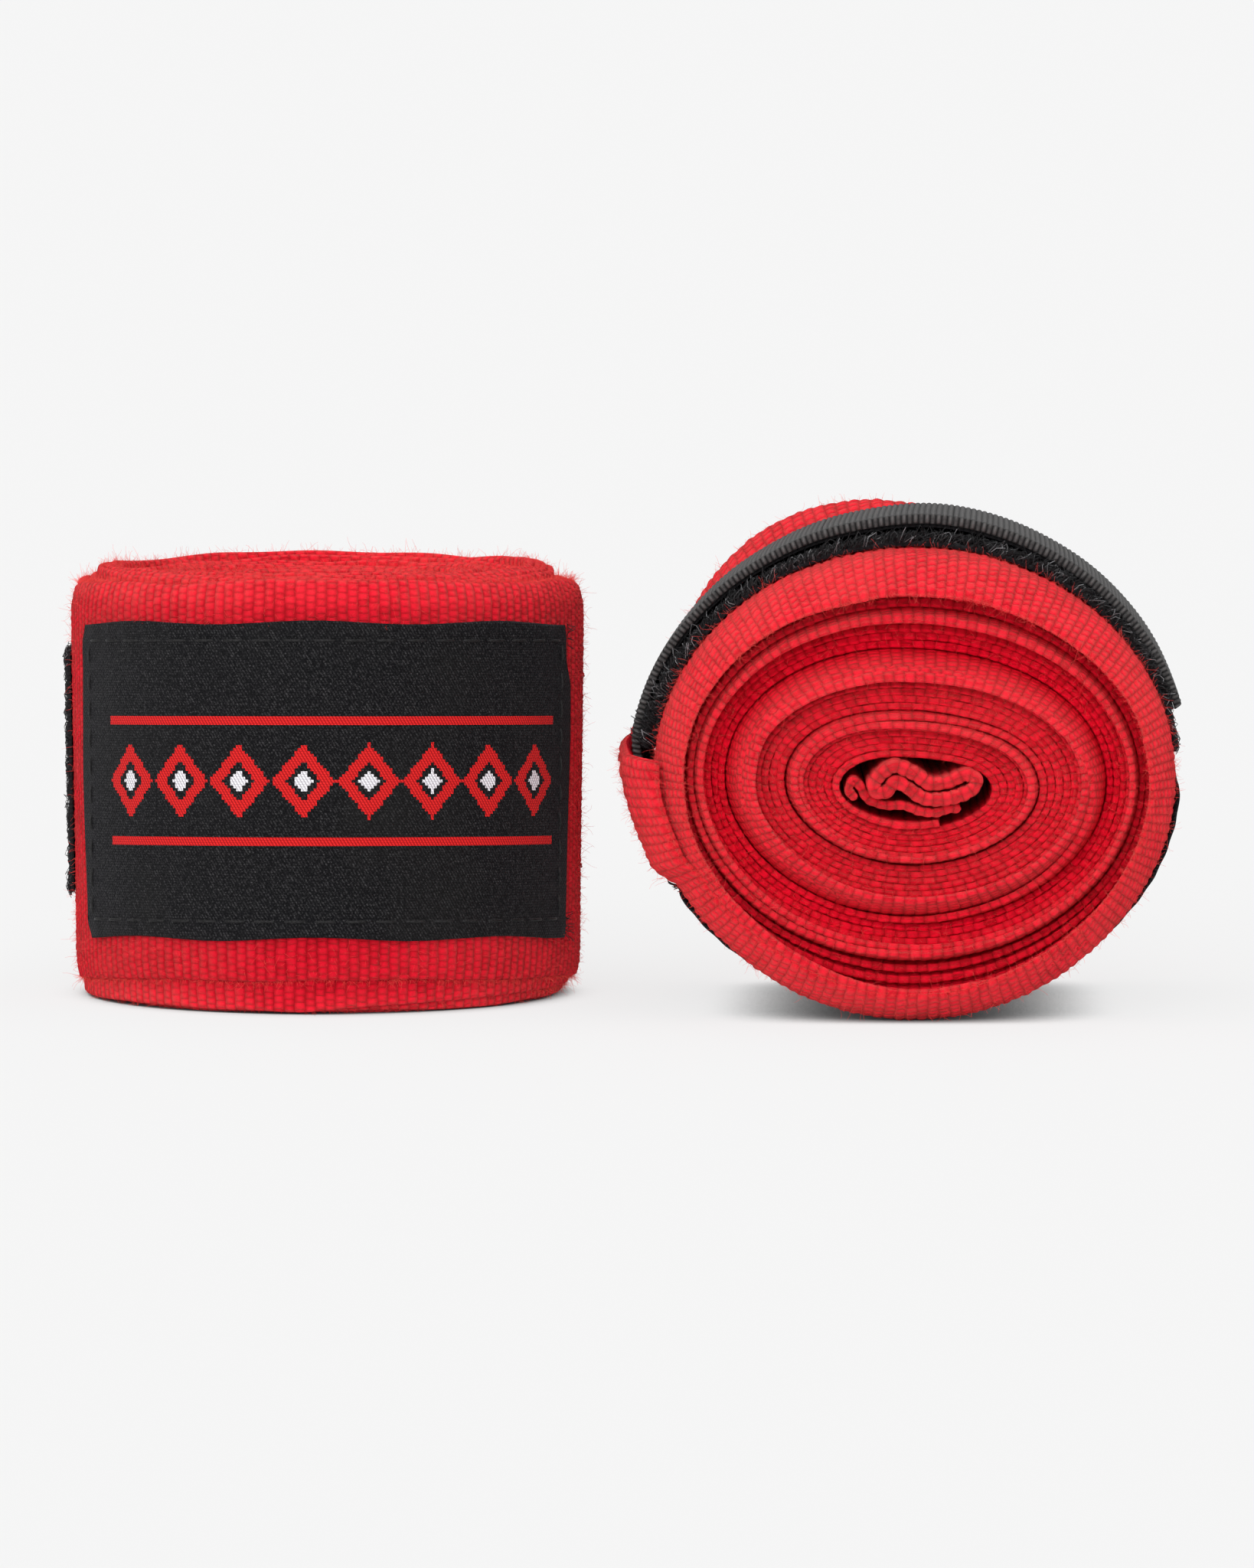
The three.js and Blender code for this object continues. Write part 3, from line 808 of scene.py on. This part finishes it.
def loop_creases():
    """The closed line of the thumb loop's cloth: out along its crumpled spine and back."""
    spine = np.array(LOOP_SPINE)
    ahead = np.gradient(spine, axis=0)
    ahead /= np.linalg.norm(ahead, axis=1, keepdims=True)
    aside = np.stack([-ahead[:, 1], ahead[:, 0]], 1) * LOOP_HALF_OPEN
    ends = ahead[[0, -1]] * LOOP_HALF_OPEN
    return np.concatenate([spine + aside, [spine[-1] + ends[1]], (spine - aside)[::-1],
                           [spine[0] - ends[0]]])


def closed_curve(points, steps):
    """A smooth closed curve through the points, by Catmull-Rom."""
    points = np.asarray(points, float)
    count = len(points)
    t = np.linspace(0, count, steps, endpoint=False)
    i = np.floor(t).astype(int)
    f = (t - i)[:, None]
    return between_points(*(points[(i + k) % count] for k in (-1, 0, 1, 2)), f)


def thumb_loop(roll):
    """The thumb loop: a ring of the same cloth, creased up in the core."""
    steps = 300
    line = closed_curve(loop_creases(), steps)
    ahead = np.roll(line, -1, axis=0) - np.roll(line, 1, axis=0)
    ahead /= np.linalg.norm(ahead, axis=1, keepdims=True)
    outward = np.stack([-ahead[:, 1], ahead[:, 0]], 1)
    along = np.r_[0, np.cumsum(np.linalg.norm(np.diff(line, axis=0), axis=1))]
    low, high = 3.0, 49.6
    steps_in = LOOSE_EDGE_STEPS
    up = np.concatenate([low + steps_in, high - steps_in[::-1]])[None, :] + np.zeros((steps, 1))
    up = up + 0.35 * np.sin(2 * np.pi * along / along[-1] * 2)[:, None] * smooth(30, 48, up)
    distance = np.minimum(up - up.min(1, keepdims=True), up.max(1, keepdims=True) - up)
    half = LOOP_HALF * rounded(distance, LOOP_HALF)
    ribs = 0.14 * rib_height(along[:, None], up) * rounded(distance, 0.3)

    def face(sign):
        flat = line[:, None] + sign * outward[:, None] * (half + ribs)[..., None]
        return np.concatenate([flat, up[..., None]], -1)

    points = np.concatenate([face(1), face(-1)[:, ::-1]], 1)
    around = points.shape[1]
    index = np.arange(steps * around).reshape(steps, around)
    right, below = np.roll(index, -1, axis=1), np.roll(index, -1, axis=0)
    quads = np.stack([index, below, np.roll(below, -1, axis=1), right], -1).reshape(-1, 4)
    uv = np.stack(np.broadcast_arrays(along[:, None], up), -1)
    uv = np.concatenate([uv, uv[:, ::-1]], 1).reshape(-1, 2)
    points = points + [*roll.core, 0.0] - LENS_MIDDLE
    # Its shade map: painted light near the near rim, and painted shade deeper in the core.
    piece = new_piece(roll.node("thumb_loop_cloth"), roll.world(points.reshape(-1, 3)), [quads],
                      CLOTH_RED[roll.letter], uv, smooth(40.0, 48.5, points.reshape(-1, 3)[:, 2]))
    dress(piece, roll, "band_cloth", "thumb_loop")
    roll.node("band_cloth")


# ---------------------------------------------------------------- strips on the coil


def flat_strip(roll, turn, across, lift, thickness, edge_round, wave=0.0):
    """(points, faces, uv) of a closed strip on the coil. turn is (stations,) or a grid with one
    column per across value; lift and thickness may be grids."""
    turn = np.asarray(turn, float)
    turn = turn if turn.ndim == 2 else np.repeat(turn[:, None], len(across), 1)
    across = np.broadcast_to(across, turn.shape)
    lift = np.broadcast_to(lift, turn.shape)
    thickness = np.broadcast_to(thickness, turn.shape)
    low, high = across.min(1, keepdims=True), across.max(1, keepdims=True)
    edge = np.minimum(across - low, high - across)
    half = thickness / 2 * np.maximum(rounded(edge, edge_round), 0.08)
    centre = lift + thickness / 2 + wave
    outer = roll.place(turn, centre + half, across)
    inner = roll.place(turn, centre - half, across)[:, ::-1]
    points = np.concatenate([outer, inner], 1)
    along = length_along(turn)
    uv = np.stack([along, across], -1)
    uv = np.concatenate([uv, uv[:, ::-1]], 1)
    return points.reshape(-1, 3), ring_faces(points.shape[0], points.shape[1]), uv.reshape(-1, 2)


def spread(low, high, edge_steps, middle_steps):
    """Heights across a strip, fine at its edges."""
    steps_in = np.asarray(edge_steps, float)
    middle = np.linspace(low + steps_in[-1], high - steps_in[-1], middle_steps + 2)[1:-1]
    return np.concatenate([low + steps_in, middle, high - steps_in[::-1]])


def strap_turns(first, last, spacing_mm):
    """Turn angles between two, at even spacing along the strap."""
    count = max(4, int(np.ceil((length_along(last) - length_along(first)) / spacing_mm)) + 1)
    return np.linspace(first, last, count)


def webbing_strip(roll, first, last, tip):
    """One stretch of the ribbed webbing."""
    turn = strap_turns(first, last, WEBBING_RIB / (4))
    low, high = STRAP_MIDDLE - WEBBING_WIDTH / 2, STRAP_MIDDLE + WEBBING_WIDTH / 2
    across = spread(low, high, [0, 0.08, 0.22, 0.45, 0.8], 14)
    along = length_along(turn)
    ribs = WEBBING_RIB_HEIGHT * np.abs(np.sin(np.pi * along / WEBBING_RIB)) ** 0.7
    edge = np.minimum(across - low, high - across)
    swell = 0.12 * np.exp(-((edge / 0.7) ** 2))
    end = rounded(length_along(tip) - along, 0.5)[:, None]
    under_hem = roll.root_thickness + (1 - roll.root_thickness) * smooth(-2.0, 5.0, turn)[:, None]
    thickness = (WEBBING - 0.15 + ribs[:, None] + swell[None, :]) * np.maximum(end, 0.25) * under_hem
    sway = 0.12 * waves(along, 21, 31.0) * smooth(*roll.strap_rise, turn)
    cup = 0.10 * ((across - STRAP_MIDDLE) / (WEBBING_WIDTH / 2)) ** 2
    lift = roll.strap_lift(turn)[:, None] + 0.05 - 0.3 * (1 - under_hem)
    return flat_strip(roll, turn, across, lift, thickness, 0.3,
                      sway[:, None] - cup[None, :] * smooth(*roll.strap_rise, turn)[:, None])


def hook_strip(roll, first, last):
    """One stretch of hook tape: its backing and its rows of nylon hooks, which point inwards."""
    turn = strap_turns(first, last, 1.2)
    low, high = STRAP_MIDDLE - HOOK_WIDTH / 2, STRAP_MIDDLE + HOOK_WIDTH / 2
    across = spread(low, high, [0, 0.1, 0.3], 8)
    lift = roll.strap_lift(turn)[:, None] - 0.42
    sway = 0.12 * waves(length_along(turn), 21, 31.0) * smooth(*roll.strap_rise, turn)
    backing = flat_strip(roll, turn, across, lift, 0.36, 0.2, sway[:, None])
    spots_turn, spots_across = np.meshgrid(
        strap_turns(first, last, HOOK_SPACING)[1:-1], np.arange(low + 0.9, high - 0.8, HOOK_SPACING)
    )
    spots_turn, spots_across = spots_turn.ravel(), spots_across.ravel()
    sway = 0.12 * waves(length_along(spots_turn), 21, 31.0)
    profile = np.array([(0, -0.40), (0, -0.62), (0.04, -0.78), (0.16, -0.86), (0.27, -0.78),
                        (0.29, -0.68)])
    paths = np.stack(
        [
            roll.place(spots_turn, roll.strap_lift(spots_turn) + sway + drop, spots_across + lean)
            for lean, drop in profile
        ],
        1,
    )
    points, faces = tubes(paths, np.array([0.10, 0.09, 0.08, 0.08, 0.07, 0.05]), sides=4)
    uv = np.zeros((len(points), 2))
    return backing, (points, faces, uv)


def strap(roll):
    """The closing strap. Each piece runs from the middle of one rigid length to the middle of the
    next."""
    step = roll.strap_end / STRAP_LENGTHS
    middles = [(i + 0.5) * step for i in range(STRAP_LENGTHS)]
    bounds = [ROOT_START, *middles, roll.strap_end]
    for i, (first, last) in enumerate(zip(bounds, bounds[1:])):
        first, last = snapped(first, i > 0), snapped(last, i < STRAP_LENGTHS)
        piece = build(roll, f"strap_webbing_piece_{i}", [webbing_strip(roll, first, last,
                      roll.strap_end)], BLACK_WEBBING)
        nodes = [roll.node("strap_root")] if i == 0 else [roll.node(f"strap_webbing_{i}")]
        follow_strap(roll, piece, i, first, last)
        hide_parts(*nodes)
        declare_tape(roll)
        if last <= HOOK_START:
            continue
        backing, hooks = hook_strip(roll, max(first, HOOK_START), last)
        tape = build(roll, f"strap_hook_piece_{i}", [backing], TAPE)
        spikes = build(roll, f"strap_hook_spikes_{i}", [hooks], HOOKS)
        for part in (tape, spikes):
            follow_strap(roll, part, i, first, last)
        replaced = [f"strap_hook_{k}" for k in ([1, 2] if i == 1 else [i + 1]) if k <= STRAP_LENGTHS]
        if replaced:
            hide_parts(*[roll.node(k) for k in replaced])


def snapped(turn, wanted):
    """The turn angle of the webbing groove nearest to one, so that pieces meet in a groove."""
    if not wanted:
        return turn
    groove = np.round(length_along(turn) / WEBBING_RIB) * WEBBING_RIB
    fine = np.linspace(turn - 3, turn + 3, 601)
    return float(np.interp(groove, length_along(fine), fine))


def follow_strap(roll, piece, i, first, last):
    bodies = [roll.name, *(f"strap_{roll.letter}_{k + 1}" for k in range(STRAP_LENGTHS))]
    if i == STRAP_LENGTHS:
        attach(piece, bodies[-1])
        return
    ends = [max(first, 0.0), last]
    start, end = (
        tuple(roll.world(roll.place(turn, roll.strap_lift(turn) + WEBBING / 2, STRAP_MIDDLE)))
        for turn in ends
    )
    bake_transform(piece)


def build(roll, part, shapes, material):
    points, faces, uv = merged(shapes)
    return new_piece(roll.node(part), roll.world(points), faces, material, uv)


def declare_tape(roll):
    roll.node("band_cloth")


# ---------------------------------------------------------------- the loop tape


def loop_tape(roll):
    """The loop tape: a woven backing with a napped pile of fine curled filaments."""
    turn = strap_turns(LOOP_START, LOOP_END, 0.8)
    low, high = STRAP_MIDDLE - LOOP_WIDTH / 2, STRAP_MIDDLE + LOOP_WIDTH / 2
    backing = flat_strip(roll, turn, spread(low, high, [0, 0.1, 0.3], 10), LOOP_LIFT, LOOP_BACKING,
                         0.2)
    piece = build(roll, "loop_tape_backing", [backing], TAPE)
    dress(piece, roll, "loop_pile", "loop_tape")
    declare_tape(roll)

    chance = np.random.default_rng(31)
    count = 8200
    turns = chance.uniform(LOOP_START + 0.4, LOOP_END - 0.4, count)
    edge = chance.random(count) < 0.35
    heights = chance.uniform(low + 0.3, high - 0.3, count)
    rim = np.where(chance.random(count) < 0.5, low, high)
    heights = np.where(edge, rim + np.sign(STRAP_MIDDLE - rim) * chance.uniform(0.0, 1.8, count),
                       heights)
    tall = chance.uniform(0.5, 1.25, count) * np.where(chance.random(count) < 0.1, 1.5, 1.0)
    tall = tall * (1 + roll.hem_bulge * 0.34 * smooth(36, 6, turns))
    tall = tall * (1 - 0.6 * smooth(-4, 0, turns - roll.strap_end))
    span = chance.uniform(0.5, 1.6, count)
    heading = chance.uniform(0, 2 * np.pi, count)
    steps = 5
    s = np.linspace(0, 1, steps)
    arch = np.sin(np.pi * s)
    twist = chance.uniform(-1.2, 1.2, (count, 1)) * (s - 0.5)
    run = span[:, None] * (s - 0.5) * 1.3
    sideways = 0.4 * span[:, None] * np.sin(2 * np.pi * s + heading[:, None]) + twist * 0.3
    du = np.cos(heading)[:, None] * run - np.sin(heading)[:, None] * sideways
    dv = np.sin(heading)[:, None] * run + np.cos(heading)[:, None] * sideways
    base = LOOP_LIFT + LOOP_BACKING - 0.06
    grid_turn = turns[:, None] + du * DEGREES_PER_MM
    paths = roll.place(grid_turn, base + tall[:, None] * arch, heights[:, None] + dv)
    points, faces = tubes(paths, np.full(steps, 0.045), sides=3)
    random_tone = np.repeat(chance.random(count), steps * 3)
    uv = np.stack([random_tone, random_tone], 1)
    pile = new_piece(roll.node("loop_pile"), roll.world(points), faces, PILE, uv)
    dress(pile, roll, "loop_pile")


# ---------------------------------------------------------------- the label


def label_ends(roll, across):
    """The label's two ends as turn angles, wavy where the sewing draws them in."""
    share = (across - LABEL_BOTTOM) / LABEL_WIDTH
    near_hem = LABEL_END - 1.4 + 1.6 * np.sin(np.pi * share) + 0.5 * np.sin(7 * share)
    near_hem = near_hem - 2.0 * smooth(0.2, 0.12, share)
    corner = 2.6 * smooth(0.93, 1.0, share) + 2.0 * smooth(0.08, 0.0, share)
    far_end = roll.label_start + 0.6 - 1.2 * np.sin(np.pi * share + 0.3) + 0.4 * np.sin(9 * share)
    return far_end + corner, near_hem - 0.5 * corner


def label_surface(turn, across):
    """Height of the label's outer face above the coil."""
    edge = np.minimum(across - LABEL_BOTTOM, LABEL_BOTTOM + LABEL_WIDTH - across)
    hem = 0.17 * smooth(LABEL_HEM + 0.25, LABEL_HEM - 0.25, edge)
    draw = -0.14 * np.exp(-(((edge - LABEL_SEAM_INSET) / 0.35) ** 2))
    ripple = 0.10 * waves(length_along(turn) + 0.3 * across, 41, 26.0)
    pucker = 0.05 * np.sin(length_along(turn) * 2 * np.pi / 3.3) * smooth(5.0, 1.5, edge)
    return CLOTH + RIB_HEIGHT + 0.10 + LABEL_THICKNESS + hem + draw + ripple + pucker


def label(roll):
    across = spread(LABEL_BOTTOM, LABEL_BOTTOM + LABEL_WIDTH, [0, 0.1, 0.25, 0.5], 60)
    start, end = label_ends(roll, across)
    share = np.linspace(0, 1, 190)[:, None]
    turn = start + (end - start) * share
    top = label_surface(turn, across[None, :])
    end_edge = np.minimum(turn - start, end - turn) / DEGREES_PER_MM
    thickness = (LABEL_THICKNESS + 0.1) * np.maximum(rounded(end_edge, 0.3), 0.3)
    wavy = across + 0.22 * np.sin(turn / 7.0 + 1.0) * smooth(0.6, 1.0, np.abs(
        (across - LABEL_BOTTOM) / LABEL_WIDTH * 2 - 1))
    points, faces, uv = flat_strip(roll, turn, wavy, top - thickness, thickness, 0.22)
    along = uv[:, 0] - length_along(roll.label_start)
    pattern = np.stack([along, uv[:, 1] - LABEL_BOTTOM], 1)
    if roll.standing:
        pattern = np.stack([along, LABEL_WIDTH - pattern[:, 1]], 1)
    piece = new_piece(roll.node("label_cloth"), roll.world(points), faces, LABEL, pattern)
    dress(piece, roll, "label", "label")
    roll.node("band_cloth")


# ---------------------------------------------------------------- stitching


def stitch_line(roll, corners, surface, pitch=3.3, gap=0.7, radius=0.17):
    """Lockstitches round a closed line of corners, (mm along, mm across), as short plump threads
    whose ends go down into the cloth."""
    corners = np.asarray(corners, float)
    paths = []
    for start, end in zip(corners, np.roll(corners, -1, axis=0)):
        length = np.linalg.norm(end - start)
        count = max(1, int(round(length / pitch)))
        for k in range(count):
            s = (np.array([0.0, 0.12, 0.35, 0.65, 0.88, 1.0]) * (1 - gap / pitch) + k) / count
            spot = start + (end - start) * (s[:, None] + gap / pitch / count / 2)
            paths.append(spot)
    paths = np.array(paths)
    fine = np.linspace(-FULL_TURN, FULL_TURN, 40001)
    turn = np.interp(paths[..., 0], length_along(fine), fine)
    sink = np.array([-0.30, -0.08, 0.05, 0.05, -0.08, -0.30])
    places = roll.place(turn, surface(turn, paths[..., 1]) + sink + radius * 0.4, paths[..., 1])
    return tubes(places, radius * np.array([0.5, 0.95, 1.0, 1.0, 0.95, 0.5]), sides=7)


def rectangle(first_turn, last_turn, low, high):
    first, last = length_along(first_turn), length_along(last_turn)
    return [(first, low), (last, low), (last, high), (first, high)]


def add_stitches(roll, part, node, stitches, material, slot):
    points, faces = stitches
    piece = new_piece(roll.node(part), roll.world(points), faces, material)
    dress(piece, roll, slot, node)


def hem_surface(roll, turn, across):
    return roll.hem_lift(turn, across) + roll.hem_thickness + RIB_HEIGHT * 0.5


def stitching(roll):
    inset = LABEL_SEAM_INSET
    corners = rectangle(
        roll.label_start + inset * DEGREES_PER_MM, LABEL_END - (inset + 0.6) * DEGREES_PER_MM,
        LABEL_BOTTOM + inset, LABEL_BOTTOM + LABEL_WIDTH - inset,
    )
    add_stitches(roll, "label_stitches", "label_stitching",
                 stitch_line(roll, corners, label_surface), BLACK_THREAD, "thread_black")
    corners = rectangle(HEM_START + 2.5, -3.5, STRAP_MIDDLE - 11.5, STRAP_MIDDLE + 11.5)
    add_stitches(roll, "end_hem_stitches", "end_hem_stitching",
                 stitch_line(roll, corners, partial(hem_surface, roll), 2.8), RED_THREAD,
                 "thread_red")
    low, high = STRAP_MIDDLE - LOOP_WIDTH / 2 + 0.6, STRAP_MIDDLE + LOOP_WIDTH / 2 - 0.6
    corners = rectangle(LOOP_START + 1, LOOP_END - 1, low, high)
    add_stitches(
        roll, "loop_tape_stitches", "loop_tape_stitching",
        stitch_line(roll, corners, lambda turn, across: LOOP_LIFT + LOOP_BACKING + 0 * turn, 2.6),
        BLACK_THREAD, "thread_black",
    )
    tack(roll)


def tack(roll):
    """The bar tack that closes the thumb loop onto the band's first turn."""
    x, y, length = 8.25, 0.15, 30.0
    count = 26
    z = 26.0 - length / 2 + length * (np.arange(count)[:, None] + np.array([0.1, 0.4, 0.6, 0.9])) / count
    zigzag = np.array([-0.35, -0.12, 0.12, 0.35]) * np.where(np.arange(count) % 2, -1, 1)[:, None]
    paths = np.stack([np.full(z.shape, x), y + zigzag, z], -1)
    points, faces = tubes(paths, np.array([0.12, 0.17, 0.17, 0.12]), sides=6)
    add_stitches(roll, "thumb_loop_tack_thread", "thumb_loop_tack", (points, faces), RED_THREAD,
                 "thread_red")


# ---------------------------------------------------------------- fuzz and stray threads


FUZZ_PARTS = 3
FUZZ_RADIUS = 0.018


def fibres(seeds, normals, chance, length, radius):
    """Curled fibres that start on seeds and lean off the surface."""
    count, steps = len(seeds), 5
    wander = chance.normal(size=(count, 3))
    wander /= np.linalg.norm(wander, axis=1, keepdims=True)
    lean = normals * chance.uniform(0.1, 0.75, (count, 1)) + wander * 0.75
    lean /= np.linalg.norm(lean, axis=1, keepdims=True)
    curl = np.cross(lean, chance.normal(size=(count, 3)))
    s = np.linspace(0, 1, steps)[None, :, None]
    reach = length[:, None, None]
    paths = seeds[:, None] + reach * (lean[:, None] * s + 0.55 * curl[:, None] * s * s * (1.2 - s))
    return tubes(paths, radius * np.linspace(1.0, 0.5, steps), sides=3)


def covered(turn, height, first, last, low, high):
    inside = (turn > first) & (turn < last)
    return inside & (height > low) & (height < high)


def surface_normals(grid):
    along = np.gradient(grid, axis=0)
    across = np.gradient(grid, axis=1)
    normal = np.cross(along, across)
    normal /= np.linalg.norm(normal, axis=2, keepdims=True) + 1e-9
    radial = grid * [1, 1, 0]
    return normal * np.sign((normal * radial).sum(2, keepdims=True) + 1e-9)


def fuzz(roll, inner, outer):
    """Stray cotton fibres: a nap all over the last turn and along the coil's rims."""
    chance = np.random.default_rng(51)
    share = 1.0
    seeds, normals = [], []
    face_normals = surface_normals(outer)
    rows = chance.integers(2, outer.shape[0] - 2, int(12000 * share))
    columns = chance.integers(1, outer.shape[1] - 1, len(rows))
    turn = np.interp(rows / outer.shape[0], [0, 1], [OUTER_SPLIT, 0.0])
    height = outer[rows, columns, 2]
    on_label = covered(turn, height, LABEL_START, LABEL_END, LABEL_BOTTOM,
                       LABEL_BOTTOM + LABEL_WIDTH)
    on_tape = covered(turn, height, LOOP_START - FULL_TURN, LOOP_END - FULL_TURN,
                      STRAP_MIDDLE - LOOP_WIDTH / 2, STRAP_MIDDLE + LOOP_WIDTH / 2)
    rows, columns = rows[~(on_label | on_tape)], columns[~(on_label | on_tape)]
    seeds.append(outer[rows, columns])
    normals.append(face_normals[rows, columns])
    for column, sign in ((0, -1.0), (-1, 1.0)):
        for grid, count in ((outer, 2200), (inner, 4200)):
            rows = chance.integers(1, grid.shape[0] - 1, int(count * share))
            seeds.append(grid[rows, column])
            out = surface_normals(grid[:, -4:] if column else grid[:, :4])[rows, 1]
            normals.append(out * 0.5 + np.array([0, 0, sign]))
    seeds, normals = np.concatenate(seeds), np.concatenate(normals)
    length = np.minimum(chance.gamma(2.2, 0.28, len(seeds)) + 0.22, 2.6)
    order = chance.permutation(len(seeds))
    for number, part in enumerate(np.array_split(order, FUZZ_PARTS), 1):
        points, faces = fibres(seeds[part], normals[part], chance, length[part], FUZZ_RADIUS)
        places = roll.world(points)
        places[:, 2] = np.maximum(places[:, 2], FUZZ_RADIUS * MM)
        piece = new_piece(roll.node(f"fuzz_{number}"), places, faces, FUZZ_RED)
        dress(piece, roll, "band_cloth")


def frayed_threads(roll):
    """Loose black threads at the label's corner next to the end hem."""
    chance = np.random.default_rng(61)
    count, steps = 22, 8
    across = np.where(chance.random(count) < 0.7, LABEL_BOTTOM + LABEL_WIDTH, LABEL_BOTTOM)
    across = across - chance.uniform(0.0, 2.6, count) * np.sign(across - 20)
    turn = LABEL_END - 1.0 + chance.uniform(-1.0, 1.0, count)
    s = np.linspace(0, 1, steps)[None, :]
    reach = chance.uniform(0.8, 2.4, count)[:, None]
    turns = turn[:, None] + reach * s * 1.6 * chance.uniform(0.2, 1.0, count)[:, None]
    lifts = 1.0 + reach * 0.25 * s + 0.15 * np.sin(5 * s + turn[:, None])
    side = across[:, None] + 0.5 * reach * s * chance.normal(size=(count, 1))
    points, faces = tubes(roll.place(turns, lifts, side), np.full(steps, 0.045), sides=4)
    piece = new_piece(roll.node("label_frayed_threads"), roll.world(points), faces, BLACK_THREAD)
    dress(piece, roll, "thread_black")


for roll in (ROLL_A, ROLL_B):
    coil_face, last_turn_face = band(roll)
    thumb_loop(roll)
    loop_tape(roll)
    strap(roll)
    label(roll)
    stitching(roll)
    fuzz(roll, coil_face, last_turn_face)
    frayed_threads(roll)


# ---------------------------------------------------------------- floor and light


FLOOR_ALBEDO, FLOOR_GLOW = 0.12, 0.770
CONTACT_REACH = 0.012
# Off centre, so that the seam between the floor's two triangles runs far from the rolls
FLOOR_SIDES = (-500.0, 700.0, -500.0, 300.0)


def floor():
    """A pale light table: its own glow fades where something stands close over it, as a painted
    contact shadow worked out by ambient occlusion.
    """
    mesh = bpy.data.meshes.new("floor")
    left, right, front, back = FLOOR_SIDES
    mesh.from_pydata([(left, front, 0), (right, front, 0), (right, back, 0), (left, back, 0)], [],
                     [(0, 1, 2, 3)])
    sheet = bpy.data.objects.new("floor", mesh)
    bpy.context.scene.collection.objects.link(sheet)
    nodes = Nodes("light_table")
    # Painted contact shadow: the glow is dimmed by ambient occlusion close under the rolls.
    open_sky = nodes.add("ShaderNodeAmbientOcclusion", samples=12)
    open_sky.inputs["Distance"].default_value = CONTACT_REACH
    glow = nodes.soft_range(open_sky.outputs["AO"], 0.0, 0.62)
    nodes.link(nodes.math("MULTIPLY", glow, FLOOR_GLOW), nodes.shader.inputs["Emission Strength"])
    nodes.shader.inputs["Emission Color"].default_value = (1.0, 1.0, 1.0, 1.0)
    grey = (FLOOR_ALBEDO, FLOOR_ALBEDO, FLOOR_ALBEDO, 1.0)
    sheet.data.materials.append(nodes.finish(grey, 0.9, specular=0.0))


def soft_sun(name, direction, angle, power):
    data = bpy.data.lights.new(name, "SUN")
    data.angle = np.radians(angle)
    data.energy = power
    lamp = bpy.data.objects.new(name, data)
    lamp.rotation_euler = Vector(direction).to_track_quat("-Z", "Y").to_euler()
    bpy.context.scene.collection.objects.link(lamp)


def light():
    """Even, soft studio light, from above and from low in front."""
    world = bpy.data.worlds.new("studio")
    world.use_nodes = True
    bpy.context.scene.world = world
    sky = world.node_tree.nodes["Background"]
    sky.inputs["Color"].default_value = (1.0, 1.0, 1.0, 1.0)
    sky.inputs["Strength"].default_value = 0.60
    soft_sun("overhead", (0.10, 0.25, -1.0), 95.0, 1.35)
    soft_sun("front", (0.20, 1.0, -0.20), 60.0, 2.9)
    bpy.context.scene.view_settings.view_transform = "Standard"


floor()
light()
